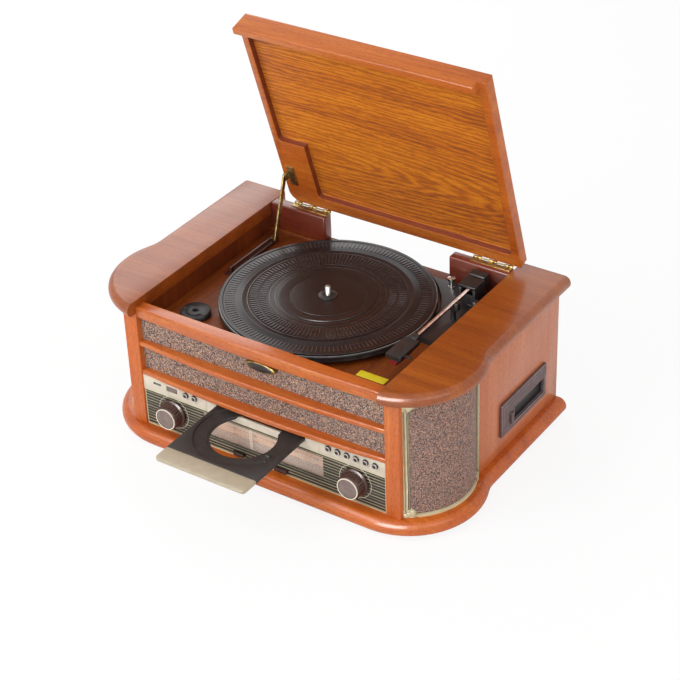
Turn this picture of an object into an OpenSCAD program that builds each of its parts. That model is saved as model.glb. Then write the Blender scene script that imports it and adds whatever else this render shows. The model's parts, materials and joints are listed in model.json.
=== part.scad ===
// Wooden music centre with a record player under a hinged lid, a compact disc
// tray, a radio with a dial, a cassette slot and two curved corner speakers.
// Units are millimetres. +X is right, +Y is back and +Z is up.
// Each sub-part is drawn with y = 0 at the front face of the two front posts,
// and place() then centres the whole model on the bottom of its bounding box.

/* [Cabinet] */
// Thickness of the wing boards
wing_t = 18; // [14:1:22]
// Thickness of the base board
base_t = 22; // [18:1:26]
// Height of the rubber feet
feet_h = 3.5; // [2:0.5:6]
// Room between the front posts' front and the platter
front_room = 29; // [26:1:34]
// Room between the platter and the back edge
back_room = 17; // [17:1:24]
// Room between the platter and the well's left wall
side_room = 35; // [32:1:40]
// Depth of the record well below the wing tops
well_depth = 41; // [39:1:46]
// Width of each front post
post_w = 20.5; // [16:0.5:24]
// Thickness of the side panels
side_t = 12; // [9:1:15]
// Thickness of the inner walls beside the well
wall_t = 12; // [9:1:15]

/* [Ears] */
// Outer radius of the curved corner grilles
grille_r = 80; // [76:1:84]
// Distance of the ears' centre inside the well's side
ear_in = 17; // [14:1:25]
// Distance of the side panels inside the grilles' widest line
side_in = 9; // [6:1:12]
// How far the base and wings stand out beyond the side panels
edge_out = 15; // [12:1:16]
// How far the base and wings stand out beyond the grille trims
ear_out = 14.7; // [13:0.1:18]
// Radius of the hollow between ear and side edge
dip_r = 51; // [30:1:60]
// Thickness of the curved grille panels
grille_t = 3; // [2:0.5:4]
// How far the grille trims stand out
trim_t = 2.3; // [1.5:0.1:3]
// Width of the grille trims
trim_w = 6; // [4:0.5:9]

/* [Front] */
// How far the top rail lies below the wing tops
top_rail_drop = 9; // [9:0.5:14]
// Height of the front top rail
top_rail_h = 15; // [10:1:18]
// Height of the middle and lower rails
rail_h = 7; // [5:0.5:8]
// Height of each strip of grille cloth
cloth_h = 35; // [30:1:40]
// How far the rails bow forward in the middle
rail_bow = 8; // [2:1:12]
// Depth of the top rail at its ends
top_rail_d = 16; // [13:1:20]
// Front face of the grille cloth behind the posts
cloth_y = 9; // [7:0.5:10]
// Thickness of the grille cloth boards
cloth_t = 4; // [3:0.5:5]
// Height of the pale control strip
strip_h = 20.5; // [18:0.5:22]
// Thickness of the control strip and tuner panel
panel_t = 3; // [2:0.5:4]
// Front face of the control strip behind the posts
strip_y = 2; // [1:0.5:3]
// Width of the dial window
dial_w = 180; // [150:1:190]
// Height of the dial window
dial_h = 32; // [26:1:36]
// Height of the tuner panel above the dial window
dial_top = 5.5; // [5.5:0.5:9]
// Height of the tuner panel below the dial window
dial_foot = 16.5; // [15:0.5:22]
// Distance of the knobs from the posts
knob_in = 44; // [38:1:48]
// Distance of the knobs below the middle of the dial
knob_drop = 1.5; // [0:0.5:4]
// Diameter of the knob skirts
knob_d = 38; // [32:1:42]
// Diameter of the knob faces
knob_face_d = 29; // [24:1:32]
// How far the knobs stand out from the panel
knob_out = 18; // [14:1:24]
// Diameter of the push buttons
button_d = 8.2; // [6:0.2:10]
// Distance of the buttons below the lower rail
button_drop = 8.5; // [7:0.5:11]
// Distance of the left post from the first left button
left_button_in = 67; // [64:1:70]
// Distance of the right post from the first right button
right_button_in = 80.5; // [78:0.5:82]
// Spacing of the buttons
button_pitch = 13.2; // [12:0.2:14]

/* [Disc tray] */
// Diameter of the disc recess
disc_d = 122; // [121:0.5:124]
// Width of the tray's rim beside the disc recess
tray_rim = 4.2; // [3:0.2:6]
// Width of the tray's lip in front of the disc recess
tray_lip = 4; // [3:0.5:6]
// Length of the tray behind the disc recess
tray_tail = 20; // [16:1:24]
// Thickness of the disc tray
tray_t = 4.6; // [4:0.2:6]
// Distance of the tray's top below the lower rail
tray_drop = 5.8; // [5:0.1:7]
// Front edge of the black tray in front of the posts
tray_out = 97; // [90:1:105]
// Depth of the pale tray front
tray_front_d = 24.5; // [18:0.5:30]
// Diameter of the hole around the disc clamp
tray_hole_d = 82; // [70:1:90]
// Width of the slot that runs back from the hole
tray_slot_w = 64; // [50:1:70]

/* [Record player] */
// Thickness of the deck board
deck_t = 9; // [6:1:12]
// Place of the platter across
platter_x = -8; // [-12:1:0]
// Radius of the platter
platter_r = 137; // [130:1:138]
// Height of the mat's top above the deck
mat_up = 17; // [15:0.5:20]
// Thickness of the rubber mat
mat_t = 2.5; // [2:0.5:4]
// Diameter of the record spindle
spindle_d = 7.2; // [7.1:0.05:7.25]
// Height of the spindle above the mat
spindle_h = 13; // [10:1:18]
// Distance of the arm pivot from the well's right wall
arm_in = 33; // [32:0.5:36]
// Distance of the arm pivot from the back edge
arm_back = 60; // [59:1:64]
// Height of the arm pivot above the mat
arm_up = 13; // [12:0.5:15]
// Diameter of the arm tube
arm_d = 7; // [5:0.5:9]
// Distance from the arm pivot to the stylus
arm_reach = 172; // [166:1:175]
// Length of the headshell
shell_l = 46; // [38:1:52]

/* [Lid] */
// Distance of the lid's left edge inside the well's wall
lid_in = 23.5; // [21:0.5:30]
// How far the lid reaches over the right wing
lid_side_out = 9.5; // [0:0.5:12]
// How far the lid reaches in front of the posts
lid_front_out = 4; // [2:0.5:8]
// Thickness of the lid
lid_t = 18; // [16:1:22]
// Depth of the hollow under the lid
lid_hollow = 8; // [5:1:11]
// How far the lid stands open
lid_open = 72.5; // [60:0.5:80]
// Depth of the two hinge blocks
block_d = 16; // [14:1:19]
// Length of each hinge block
block_l = 86; // [76:1:92]
// Height of the low back rail above the deck
back_rail_up = 5; // [3:0.5:5.5]
// Length of each hinge
hinge_l = 56; // [45:1:60]
// Radius of the hinge knuckles
knuckle_r = 1.8; // [1.6:0.1:2]
// Diameter of the hinge pins
hinge_pin_d = 1.9; // [1.6:0.1:2]

/* [Lid stay] */
// Distance of the stay bar from the lid's left edge
stay_in = 4.5; // [3:0.5:6]
// Distance of the stay's upper pivot from the hinge
stay_up = 50; // [46:1:54]
// Distance of the stay's upper pivot from the lid's inner face
stay_off = 4.5; // [4:0.5:6]
// Height of the stay's lower pin above the deck
stay_pin_up = 8; // [7:0.5:9]
// Width of the stay bar
stay_w = 7; // [6:0.5:7.5]
// Thickness of the stay bar
stay_t = 2; // [1.5:0.5:2.5]

/* [Cassette slot] */
// Distance of the cassette bezel from the back edge
tape_back = 34; // [28:1:40]
// Length of the bezel in front of the cassette opening
tape_front = 35; // [32:1:40]
// Length of the bezel behind the cassette opening
tape_end = 8; // [6.5:0.5:12]
// Height of the cassette bezel above the base
tape_up = 24.5; // [20:0.5:30]
// Height of the cassette bezel
tape_h = 48.5; // [44:0.5:52]
// Width of the cassette opening
tape_slot_w = 70; // [68:0.5:72]
// Height of the cassette opening
tape_slot_h = 19; // [16:0.5:21]

/* [Fits] */
// Gap between pieces that slide or turn past each other
gap = 0.3; // [0.2:0.05:0.5]
// Radial clearance of a shaft in its bearing
fit = 0.05; // [0.02:0.01:0.1]

/* [Hidden] */
$fn = 96;
// A little extra so that a cut runs clear through a face
eps = 0.5;
// Heights, added up from the table to the wing tops
base_z = feet_h + base_t;
dial_z = base_z + dial_foot + dial_h / 2;
strip_z = dial_z + dial_h / 2 + dial_top;
low_rail_z = strip_z + strip_h;
mid_rail_z = low_rail_z + rail_h + cloth_h;
top_rail_z = mid_rail_z + rail_h + cloth_h + top_rail_h;
wing_top_z = top_rail_z + top_rail_drop;
wing_z = wing_top_z - wing_t;
wall_h = wing_z - base_z;
deck_z = wing_top_z - well_depth;
mat_z = deck_z + mat_up;
arm_z = mat_z + arm_up;
back_rail_z = deck_z + back_rail_up;
knob_z = dial_z - knob_drop;
button_z = low_rail_z - button_drop;
tray_z = low_rail_z - tray_drop;
// Depths, added up from the front posts to the back edge
platter_y = front_room + platter_r;
body_d = platter_y + platter_r + back_room;
arm_y = body_d - arm_back;
tape_l = tape_front + tape_slot_w + tape_end;
tape_y = body_d - tape_back - tape_l;
tape_z = base_z + tape_up;
tray_l = tray_lip + disc_d + tray_tail;
tray_w = disc_d + 2 * tray_rim;
// Widths, added up from the platter to the outer edges
well_half = platter_r - platter_x + side_room;
ear_x = well_half - ear_in;
ear_y = grille_r + 1;
ear_r = grille_r + trim_t + ear_out;
side_x = ear_x + grille_r - side_in;
edge_x = side_x + edge_out;
knob_x = well_half - knob_in;
left_button_x = left_button_in - well_half;
right_button_x = well_half - right_button_in;
arm_x = well_half - arm_in;
lid_x0 = lid_in - well_half;
lid_x1 = well_half + lid_side_out;
block_x = well_half - block_l;
stay_x = lid_x0 + stay_in;
// Place of the posts' front face in the model's own frame
front_y = (tray_out + tray_front_d - body_d) / 2;
// The hollow's circle touches the ear and the straight edge
dip_x = edge_x + dip_r;
dip_y = ear_y + sqrt(pow(ear_r + dip_r, 2) - pow(dip_x - ear_x, 2));
dip_angle = atan2(dip_y - ear_y, dip_x - ear_x);
post_x = well_half + post_w;
post_d = 21;
side_y = ear_y + sqrt(pow(grille_r + trim_t, 2) - pow(side_x - ear_x, 2)) + 0.2;
panel_y = strip_y + 1;
rail_back = cloth_y + cloth_t;
pin_y = body_d - 19;
lid_l = pin_y + lid_front_out;
block_y = pin_y - block_d + 1.5;
back_rail_d = 20;
back_rail_y0 = block_y + block_d - back_rail_d;
pin_z = wing_top_z + 2;
lid_gap = 1.5;
front_lip_d = 12;
tilt = 90 - lid_open;
// Buttons: two on the left of the tray and six on the right
button_xs = [
    for (i = [0 : 1]) left_button_x + i * button_pitch,
    for (i = [0 : 5]) right_button_x + i * button_pitch
];
button_out = 2.8;
button_travel = 1.5;
slot_x = tray_w / 2 + 0.8;
slot_z0 = tray_z - tray_t - 0.9;
disc_y = tray_lip + disc_d / 2 - tray_out;
tray_travel = tray_out + tray_front_d + strip_y - 1;
guide_x = tray_w / 2 + gap;
guide_y0 = 14;
guide_y1 = tray_l - tray_out + tray_travel + 18;
tape_open_y = tape_y + tape_front;
tape_open_z = tape_z + 8.5;

// Moves a sub-part into the model's own frame
module place() {
    translate([0, front_y, 0])
        children();
}

// The same sub-part on the left and on the right
module both_sides() {
    children();
    mirror([1, 0, 0])
        children();
}

// Flat outline of the cabinet's right half, inside its outer edge by inset
module half_outline(inset) {
    reach = ear_r - inset;
    front = ear_y - reach;
    translate([0, front])
        square([ear_x, body_d - front]);
    translate([ear_x, dip_y])
        square([edge_x - inset - ear_x, body_d - dip_y]);
    translate([ear_x, ear_y])
        circle(reach);
    difference() {
        polygon([[ear_x, ear_y], [dip_x, dip_y], [ear_x, dip_y]]);
        translate([dip_x, dip_y])
            circle(dip_r + inset);
    }
}

// Half-round bead profile, flat side on the axis
module bead(r) {
    intersection() {
        circle(r);
        translate([0, -r])
            square([r, 2 * r]);
    }
}

// The half-round nose along the front, ear, hollow and side of the right half,
// with a hairline joint between the ear's piece and the hollow's
module half_nose(r) {
    front = ear_y - ear_r + r;
    translate([ear_x, front, 0])
        rotate([90, 0, -90])
            linear_extrude(ear_x)
                bead(r);
    translate([ear_x, ear_y, 0])
        rotate(-90)
            rotate_extrude(angle = 90 + dip_angle)
                translate([ear_r - r, 0])
                    bead(r);
    translate([dip_x, dip_y, 0])
        rotate(180)
            rotate_extrude(angle = dip_angle - 0.05)
                translate([dip_r + r, 0])
                    mirror([1, 0, 0])
                        bead(r);
    translate([edge_x - r, body_d, 0])
        rotate([90, 0, 0])
            linear_extrude(body_d - dip_y)
                bead(r);
}

// Rectangle with rounded corners, given by its low and high corners
module round_rect(x0, y0, x1, y1, r) {
    translate([x0 + r, y0])
        square([x1 - x0 - 2 * r, y1 - y0]);
    translate([x0, y0 + r])
        square([x1 - x0, y1 - y0 - 2 * r]);
    for (x = [x0 + r, x1 - r], y = [y0 + r, y1 - r])
        translate([x, y])
            circle(r);
}

// Box given by its low and high corners
module span(low, high) {
    translate(low)
        cube(high - low);
}

// Cylinder along Y from y0 to y1
module rod_y(x, z, r, y0, y1) {
    translate([x, y0, z])
        rotate([-90, 0, 0])
            cylinder(h = y1 - y0, r = r);
}

// Cylinder along X from x0 to x1
module rod_x(y, z, r, x0, x1) {
    translate([x0, y, z])
        rotate([0, 90, 0])
            cylinder(h = x1 - x0, r = r);
}

wood = "#b5602a";
dark_wood = "#8f4522";
cloth = "#8d6a58";
gold = "#d8cba0";
cream = "#e3dcc4";
olive = "#4a4534";
black = "#2a2725";
brown = "#4b332b";
brass = "#9c8a5c";
chrome = "#c9c9c6";

// Cabinet boards

module base_board() {
    color(wood)
        place()
            translate([0, 0, feet_h])
                both_sides() {
                    linear_extrude(base_t)
                        half_outline(base_t / 2);
                    translate([0, 0, base_t / 2])
                        half_nose(base_t / 2);
                }
}

foot_d = 24;
foot_x = well_half + 18;
foot_y0 = ear_y - 29;
foot_y1 = body_d - 36;
module rubber_feet() {
    color(black)
        place()
            for (x = [-foot_x, foot_x], y = [foot_y0, foot_y1])
                translate([x, y, 0])
                    rotate_extrude()
                        polygon([
                            [0, 0], [foot_d / 2 - 2, 0], [foot_d / 2 - 1, 1],
                            [foot_d / 2, feet_h], [0, feet_h]
                        ]);
}

module side_board() {
    span([side_x - side_t, side_y, base_z], [side_x, body_d, wing_z]);
}

module side_panel_left() {
    color(wood)
        place()
            mirror([1, 0, 0])
                side_board();
}

tape_lip = 4;
module side_panel_right() {
    color(wood)
        place()
            difference() {
                side_board();
                span(
                    [side_x - side_t - eps, tape_y + tape_lip, tape_z + tape_lip],
                    [side_x + eps, tape_y + tape_l - tape_lip, tape_z + tape_h - tape_lip]
                );
            }
}

module wing_board() {
    intersection() {
        translate([0, 0, wing_z]) {
            linear_extrude(wing_t)
                half_outline(wing_t / 2);
            translate([0, 0, wing_t / 2])
                half_nose(wing_t / 2);
        }
        span([well_half, -ear_r, wing_z - 1], [ear_x + 2 * ear_r, body_d, wing_top_z + 1]);
    }
}

module wing_left() {
    color(wood)
        place()
            mirror([1, 0, 0])
                wing_board();
}

module wing_right() {
    color(wood)
        place()
            wing_board();
}

back_t = 6;
back_y0 = block_y + block_d - back_t;
baffle_t = 5;
baffle_x = side_x - side_t - baffle_t;
// The baffle's front edge lies just inside the curved grille
baffle_edge_x = side_x - side_t - ear_x;
baffle_y0 = ear_y - sqrt(pow(grille_r - grille_t - 1.6, 2) - pow(baffle_edge_x, 2));
baffle_y1 = ear_y + 41;
speaker_z = base_z + wall_h / 2;
speaker_r = 33;
module inner_walls() {
    color(dark_wood)
        place()
            difference() {
                both_sides() {
                    span([well_half, post_d, base_z], [well_half + wall_t, back_y0, wing_z]);
                    difference() {
                        span([baffle_x, baffle_y0, base_z], [baffle_x + baffle_t, baffle_y1, wing_z]);
                        rod_x(ear_y, speaker_z, speaker_r, baffle_x - eps, baffle_x + baffle_t + eps);
                    }
                }
                span(
                    [well_half - eps, tape_open_y - deck_wall - 1, tape_open_z - deck_wall - 1],
                    [
                        well_half + wall_t + eps,
                        tape_open_y + tape_slot_w + deck_wall + 1,
                        tape_open_z + tape_slot_h + deck_wall + 1
                    ]
                );
            }
}

module front_posts() {
    color(wood)
        place()
            both_sides()
                translate([0, 0, base_z])
                    linear_extrude(wall_h)
                        round_rect(well_half, 0, post_x, post_d, 1.5);
}

// A rail bowed forward by bow between the posts, with rounded front edges
module bowed_rail(bow, z, h, r, back) {
    reach = (pow(well_half, 2) + pow(bow, 2)) / (2 * bow);
    sweep = asin(well_half / reach) + 1;
    intersection() {
        translate([0, rail_end_y - bow + reach, z])
            rotate(-90 - sweep)
                rotate_extrude(angle = 2 * sweep, $fn = 1440)
                    translate([reach, 0])
                        mirror([1, 0]) {
                            translate([r, 0])
                                square([60, h]);
                            translate([0, r])
                                square([60, h - 2 * r]);
                            for (v = [r, h - r])
                                translate([r, v])
                                    circle(r, $fn = 48);
                        }
        span([-well_half, -60, z - eps], [well_half, back, z + h + eps]);
    }
}

top_bow = rail_bow - 3;
rail_end_y = 1.5;
module top_rail() {
    color(wood)
        place()
            bowed_rail(top_bow, top_rail_z - top_rail_h, top_rail_h, 2, top_rail_d);
}

module front_rails() {
    color(wood)
        place()
            for (z = [mid_rail_z, low_rail_z])
                bowed_rail(rail_bow, z, rail_h, 2, rail_back);
}

module front_cloth() {
    color(cloth)
        place() {
            span(
                [-well_half, cloth_y, mid_rail_z + rail_h],
                [well_half, rail_back, top_rail_z - top_rail_h]
            );
            span([-well_half, cloth_y, low_rail_z + rail_h], [well_half, rail_back, mid_rail_z]);
        }
}

module back_rail() {
    color(wood)
        place()
            span(
                [-well_half, back_rail_y0, deck_z - deck_t],
                [well_half, block_y + block_d, back_rail_z]
            );
}

module hinge_blocks() {
    color(wood)
        place()
            both_sides()
                translate([0, 0, back_rail_z])
                    linear_extrude(wing_top_z - back_rail_z)
                        difference() {
                            translate([block_x, block_y])
                                square([well_half - block_x, block_d]);
                            translate([block_x, block_y])
                                difference() {
                                    square([3, 3]);
                                    translate([3, 3])
                                        circle(3);
                                }
                        }
}

vent_n = 9;
vent_w = 4;
vent_h = 42;
vent_z = base_z + 54.5;
jack_r = 4.2;
jack_out = 8;
jack_x = 30 - well_half;
jack_zs = [base_z + 30.5, base_z + 48.5];
inlet_x = well_half - 30;
inlet_z = base_z + 24.5;
inlet_w = 24;
inlet_h = 17;
inlet_out = 5;
module back_panel() {
    color(black)
        place() {
            difference() {
                span(
                    [side_t - side_x, back_y0, base_z],
                    [side_x - side_t, back_y0 + back_t, wing_z]
                );
                span(
                    [-well_half, back_y0 - eps, deck_z - deck_t],
                    [well_half, back_y0 + back_t + eps, wing_z + eps]
                );
                for (i = [0 : vent_n - 1])
                    translate([(i - (vent_n - 1) / 2) * 3 * vent_w, 0, 0])
                        span(
                            [-vent_w / 2, back_y0 - eps, vent_z],
                            [vent_w / 2, back_y0 + back_t + eps, vent_z + vent_h]
                        );
            }
            // Twin audio jacks
            for (z = jack_zs)
                difference() {
                    rod_y(jack_x, z, jack_r, back_y0 + back_t, back_y0 + back_t + jack_out);
                    rod_y(jack_x, z, 1.6, back_y0 + back_t, back_y0 + back_t + jack_out + 1);
                }
            // Mains inlet, a rounded collar around two pins
            translate([inlet_x, back_y0 + back_t + inlet_out, inlet_z])
                rotate([90, 0, 0]) {
                    linear_extrude(inlet_out)
                        difference() {
                            round_rect(-inlet_w / 2, -inlet_h / 2, inlet_w / 2, inlet_h / 2, 4);
                            round_rect(3 - inlet_w / 2, 3 - inlet_h / 2, inlet_w / 2 - 3, inlet_h / 2 - 3, 3);
                        }
                    for (x = [-4, 4])
                        translate([x, 0, 1])
                            cylinder(h = inlet_out - 1, r = 1.2);
                }
        }
}

adapter_r = 19;
adapter_x = 41 - well_half;
adapter_y = top_rail_d + 49;
motor_reach = 95;
motor_angle = 215;
motor_x = platter_x + motor_reach * cos(motor_angle);
motor_y = platter_y + motor_reach * sin(motor_angle);
bearing_r = 9;
module deck_board() {
    color(wood)
        place()
            difference() {
                span([-well_half, top_rail_d, deck_z - deck_t], [well_half, back_rail_y0, deck_z]);
                translate([platter_x, platter_y, deck_z - deck_t - eps])
                    cylinder(h = deck_t + 2 * eps, r = bearing_r);
                translate([motor_x, motor_y, deck_z - deck_t - eps])
                    cylinder(h = deck_t + 2 * eps, r = 8);
                translate([adapter_x, adapter_y, deck_z - 3])
                    cylinder(h = 3 + eps, r = adapter_r + 0.4);
            }
}

// Curved corners and speakers

module corner_ring(r0, r1, z0, z1) {
    intersection() {
        translate([ear_x, ear_y, z0])
            difference() {
                cylinder(h = z1 - z0, r = r1, $fn = 240);
                translate([0, 0, -eps])
                    cylinder(h = z1 - z0 + 2 * eps, r = r0, $fn = 240);
            }
        span([post_x, -60, z0], [edge_x + 30, side_y, z1]);
    }
}

module corner_grilles() {
    color(cloth)
        place()
            both_sides()
                corner_ring(grille_r - grille_t, grille_r, base_z, wing_z);
}

rosette_r = 9;
module corner_trims() {
    window_x = post_x + trim_w;
    window_y = side_y - trim_w;
    color(gold)
        place()
            both_sides() {
                difference() {
                    corner_ring(grille_r, grille_r + trim_t, base_z, wing_z);
                    span(
                        [window_x, -60, base_z + trim_w],
                        [edge_x + 30, window_y, wing_z - trim_w]
                    );
                }
                // A quarter-round plate in each corner of the frame
                for (z = [base_z + trim_w / 2, wing_z - trim_w / 2]) {
                    intersection() {
                        corner_ring(grille_r, grille_r + trim_t + 0.6, base_z, wing_z);
                        rod_y(window_x - trim_w / 2, z, rosette_r, -60, ear_y);
                    }
                    intersection() {
                        corner_ring(grille_r, grille_r + trim_t + 0.6, base_z, wing_z);
                        rod_x(window_y + trim_w / 2, z, rosette_r, ear_x + 40, edge_x + 30);
                    }
                }
            }
}

module speakers() {
    front = baffle_x + baffle_t;
    color(black)
        place()
            both_sides()
                translate([0, ear_y, speaker_z])
                    rotate([0, 90, 0])
                        rotate_extrude()
                            polygon([
                                [0, well_half + wall_t], [20, well_half + wall_t],
                                [20, well_half + wall_t + 10], [speaker_r - 1, front],
                                [speaker_r + 5, front], [speaker_r + 5, front + 2],
                                [speaker_r - 4, front + 2], [11, front - 9], [0, front - 9]
                            ]);
}

// Front panels and controls

board_y = strip_y + panel_t + 4.5;
dial_x = dial_w / 2;
dial_rim = 7;
usb_x = 21.7 - well_half;
usb_z = low_rail_z - 8;
view_x = 44.5 - well_half;
view_z = low_rail_z - 9;
// Ends of the two switch boards and the posts that carry them
left_board = [left_button_x - 11, left_button_x + 23];
right_board = [right_button_x - 10.5, right_button_x + 75.5];
board_post_z = strip_z + 4.5;
board_post_xs = [left_board[0] + 4, left_board[1] - 3, right_board[0] + 4, right_board[1] - 3];
module control_strip() {
    strip_back = strip_y + panel_t;
    color(cream)
        place() {
            difference() {
                span([-well_half, strip_y, strip_z], [well_half, strip_back, low_rail_z]);
                span([-slot_x, strip_y - eps, slot_z0], [slot_x, strip_back + eps, low_rail_z + eps]);
                for (x = button_xs)
                    rod_y(x, button_z, button_d / 2 + fit, strip_y - eps, strip_back + eps);
                span(
                    [usb_x - 6.2, strip_y - eps, usb_z - 2.3],
                    [usb_x + 6.2, strip_back + eps, usb_z + 2.3]
                );
                span(
                    [view_x - 8.5, strip_y - eps, view_z - 4],
                    [view_x + 8.5, strip_back + eps, view_z + 4]
                );
                // Seams beside the disc tray
                for (x = [-slot_x - 16, slot_x + 19.5])
                    span([x, strip_y - eps, strip_z - eps], [x + 0.6, strip_y + 0.5, low_rail_z + eps]);
            }
            // Posts that carry the switch boards
            for (x = board_post_xs)
                rod_y(x, board_post_z, 1.8, strip_back, board_y);
        }
}

stripe_pitch = 4.3;
slider_z = base_z + dial_foot - 10.5;
band_x = -36;
function_x = 27.5;
shaft_r = 3;
module tuner_panel() {
    panel_back = panel_y + panel_t;
    color(olive)
        place()
            difference() {
                span([-well_half, panel_y, base_z], [well_half, panel_back, strip_z]);
                span(
                    [-dial_x, panel_y - eps, dial_z - dial_h / 2],
                    [dial_x, panel_back + eps, dial_z + dial_h / 2]
                );
                for (i = [0 : floor((strip_z - base_z - 4) / stripe_pitch)])
                    translate([0, 0, base_z + 2 + i * stripe_pitch])
                        span([-well_half - eps, panel_y - eps, 0], [well_half + eps, panel_y + 0.4, 1]);
                for (x = [-knob_x, knob_x])
                    rod_y(x, knob_z, shaft_r + gap, panel_y - eps, panel_back + eps);
                for (x = [band_x, function_x])
                    span(
                        [x - 10, panel_y - eps, slider_z - 1.5],
                        [x + 10, panel_back + eps, slider_z + 1.5]
                    );
            }
}

module dial_scale() {
    panel_back = panel_y + panel_t;
    color(cream)
        place()
            difference() {
                span(
                    [-dial_x - dial_rim, panel_back, dial_z - dial_h / 2 - dial_rim],
                    [dial_x + dial_rim, panel_back + 4.5, dial_z + dial_h / 2 + dial_rim]
                );
                span(
                    [-dial_x - 4, panel_back - eps, dial_z - dial_h / 2 - 5],
                    [dial_x + 4, panel_back + 3, dial_z + dial_h / 2 + 5]
                );
            }
}

module windows() {
    color("#d9b69a")
        place()
            span(
                [-dial_x, panel_y + 1, dial_z - dial_h / 2],
                [dial_x, panel_y + panel_t - 0.4, dial_z + dial_h / 2]
            );
    color(brown)
        place()
            span([view_x - 8.5, strip_y + 0.4, view_z - 4], [view_x + 8.5, strip_y + panel_t, view_z + 4]);
}

pointer_x = -19.3;
module dial_pointer() {
    y0 = panel_y + panel_t + gap;
    low_z = dial_z - dial_h / 2 - 5 + gap;
    high_z = dial_z + dial_h / 2 + 5 - gap;
    color("#7a2a1c")
        place() {
            span([pointer_x - 0.6, y0, low_z], [pointer_x + 0.6, y0 + 1.2, high_z]);
            span([pointer_x - 4, y0, low_z], [pointer_x + 4, y0 + 2.4, low_z + 3.5]);
            span([pointer_x - 4, y0, high_z - 3.5], [pointer_x + 4, y0 + 2.4, high_z]);
        }
}

front_board_y = 22;
module knob(x) {
    skirt_y = panel_y - gap;
    face_y = panel_y - knob_out;
    body_r = (knob_d + knob_face_d) / 4;
    color(brown)
        place()
            difference() {
                translate([x, skirt_y, knob_z])
                    rotate([90, 0, 0]) {
                        rotate_extrude()
                            polygon([
                                [0, 0], [knob_d / 2 - 0.8, 0], [knob_d / 2, 0.8], [knob_d / 2, 2.6],
                                [body_r + 0.6, 4], [body_r, 4.6], [body_r - 0.6, knob_out - 3],
                                [knob_face_d / 2, knob_out - gap - 0.8],
                                [knob_face_d / 2 - 0.8, knob_out - gap],
                                [knob_face_d / 2 - 3, knob_out - gap - 0.6], [0, knob_out - gap - 0.6]
                            ]);
                        translate([0, 0, 2 + skirt_y - front_board_y])
                            cylinder(h = front_board_y - skirt_y, r = shaft_r);
                    }
                for (i = [0 : 27])
                    translate([x, 0, knob_z])
                        rotate([0, i * 360 / 28, 0])
                            rod_y(body_r + 0.9, 0, 1.4, face_y + 3.4, skirt_y - 4.4);
            }
}

module tuning_knob() {
    knob(knob_x);
}

module volume_knob() {
    knob(-knob_x);
}

module button(i) {
    strip_back = strip_y + panel_t;
    color(brown)
        place()
            translate([button_xs[i], 0, button_z])
                rotate([-90, 0, 0])
                    rotate_extrude()
                        polygon([
                            [0, strip_y - button_out], [button_d / 2 - 0.8, strip_y - button_out],
                            [button_d / 2, strip_y - button_out + 0.8], [button_d / 2, strip_back + 0.1],
                            [button_d / 2 + 1, strip_back + 0.1], [button_d / 2 + 1, strip_back + 1.3],
                            [1.6, strip_back + 1.3], [1.6, board_y - button_travel - 0.1],
                            [0, board_y - button_travel - 0.1]
                        ]);
}

module button_1() {
    button(0);
}

module button_2() {
    button(1);
}

module button_3() {
    button(2);
}

module button_4() {
    button(3);
}

module button_5() {
    button(4);
}

module button_6() {
    button(5);
}

module button_7() {
    button(6);
}

module button_8() {
    button(7);
}

// A slide switch cap: finger bar, stem through the slot and back plate
module slider(x, half_w) {
    color(brown)
        place() {
            translate([x, 0, slider_z]) {
                span([-half_w, panel_y - 4, -2.3], [half_w, panel_y - gap, 2.3]);
                for (v = [-half_w + 1.2 : 2.2 : half_w - 1.2])
                    span([v - 0.5, panel_y - 4.6, -2.3], [v + 0.5, panel_y - 4, 2.3]);
                span([-3, panel_y - gap, -1.3], [3, panel_y + panel_t + gap, 1.3]);
                span([-6, panel_y + panel_t + gap, -2.6], [6, panel_y + panel_t + 1.8, 2.6]);
            }
        }
}

module band_slider() {
    slider(band_x, 7);
}

module function_slider() {
    slider(function_x, 9);
}

module usb_socket() {
    color(chrome)
        place() {
            difference() {
                span([usb_x - 6.2, strip_y + 0.2, usb_z - 2.3], [usb_x + 6.2, strip_y + 14, usb_z + 2.3]);
                span([usb_x - 5.7, strip_y, usb_z - 1.8], [usb_x + 5.7, strip_y + 13, usb_z + 1.8]);
            }
            span([usb_x - 5, strip_y + 2, usb_z - 0.2], [usb_x + 5, strip_y + 13.5, usb_z + 1.2]);
        }
}

board_t = 1.6;
// Main board, given by its left and back edges, its width and its length
main_x0 = 12 - well_half;
main_y1 = back_y0 - 46.5;
main_w = well_half - 12 - guide_x - 12;
main_l = 140;
module electronics() {
    color("#3c5a3a")
        place() {
            // Board behind the tuner panel with the two knob sockets
            span(
                [10 - well_half, front_board_y, base_z],
                [well_half - 10, front_board_y + board_t, dial_z + 10]
            );
            for (x = [-knob_x, knob_x])
                difference() {
                    rod_y(x, knob_z, 9, front_board_y - 9, front_board_y);
                    rod_y(x, knob_z, shaft_r + fit, front_board_y - 10, front_board_y - 1.5);
                }
            // Switch boards behind the buttons
            for (ends = [left_board, right_board])
                span([ends[0], board_y, strip_z + 2], [ends[1], board_y + board_t, low_rail_z - 1]);
            // Main board on its four posts, left of the disc mechanism, with its parts
            translate([main_x0, main_y1 - main_l, base_z]) {
                span([0, 0, 6], [main_w, main_l, 6 + board_t]);
                for (x = [6, main_w - 6], y = [8, main_l - 8])
                    translate([x, y, 0])
                        cylinder(h = 6, r = 3);
                for (i = [0 : 3])
                    translate([16 + i * 20, 30, 6 + board_t])
                        cylinder(h = 24, r = 7);
                span([12, 80, 6 + board_t], [main_w - 12, 86, 40]);
                span([main_w - 30, 50, 6 + board_t], [main_w - 12, 66, 11]);
            }
            // Transformer
            translate([10, main_y1 - 28, base_z])
                cube([70, 50, 44]);
        }
}

// Disc player

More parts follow.
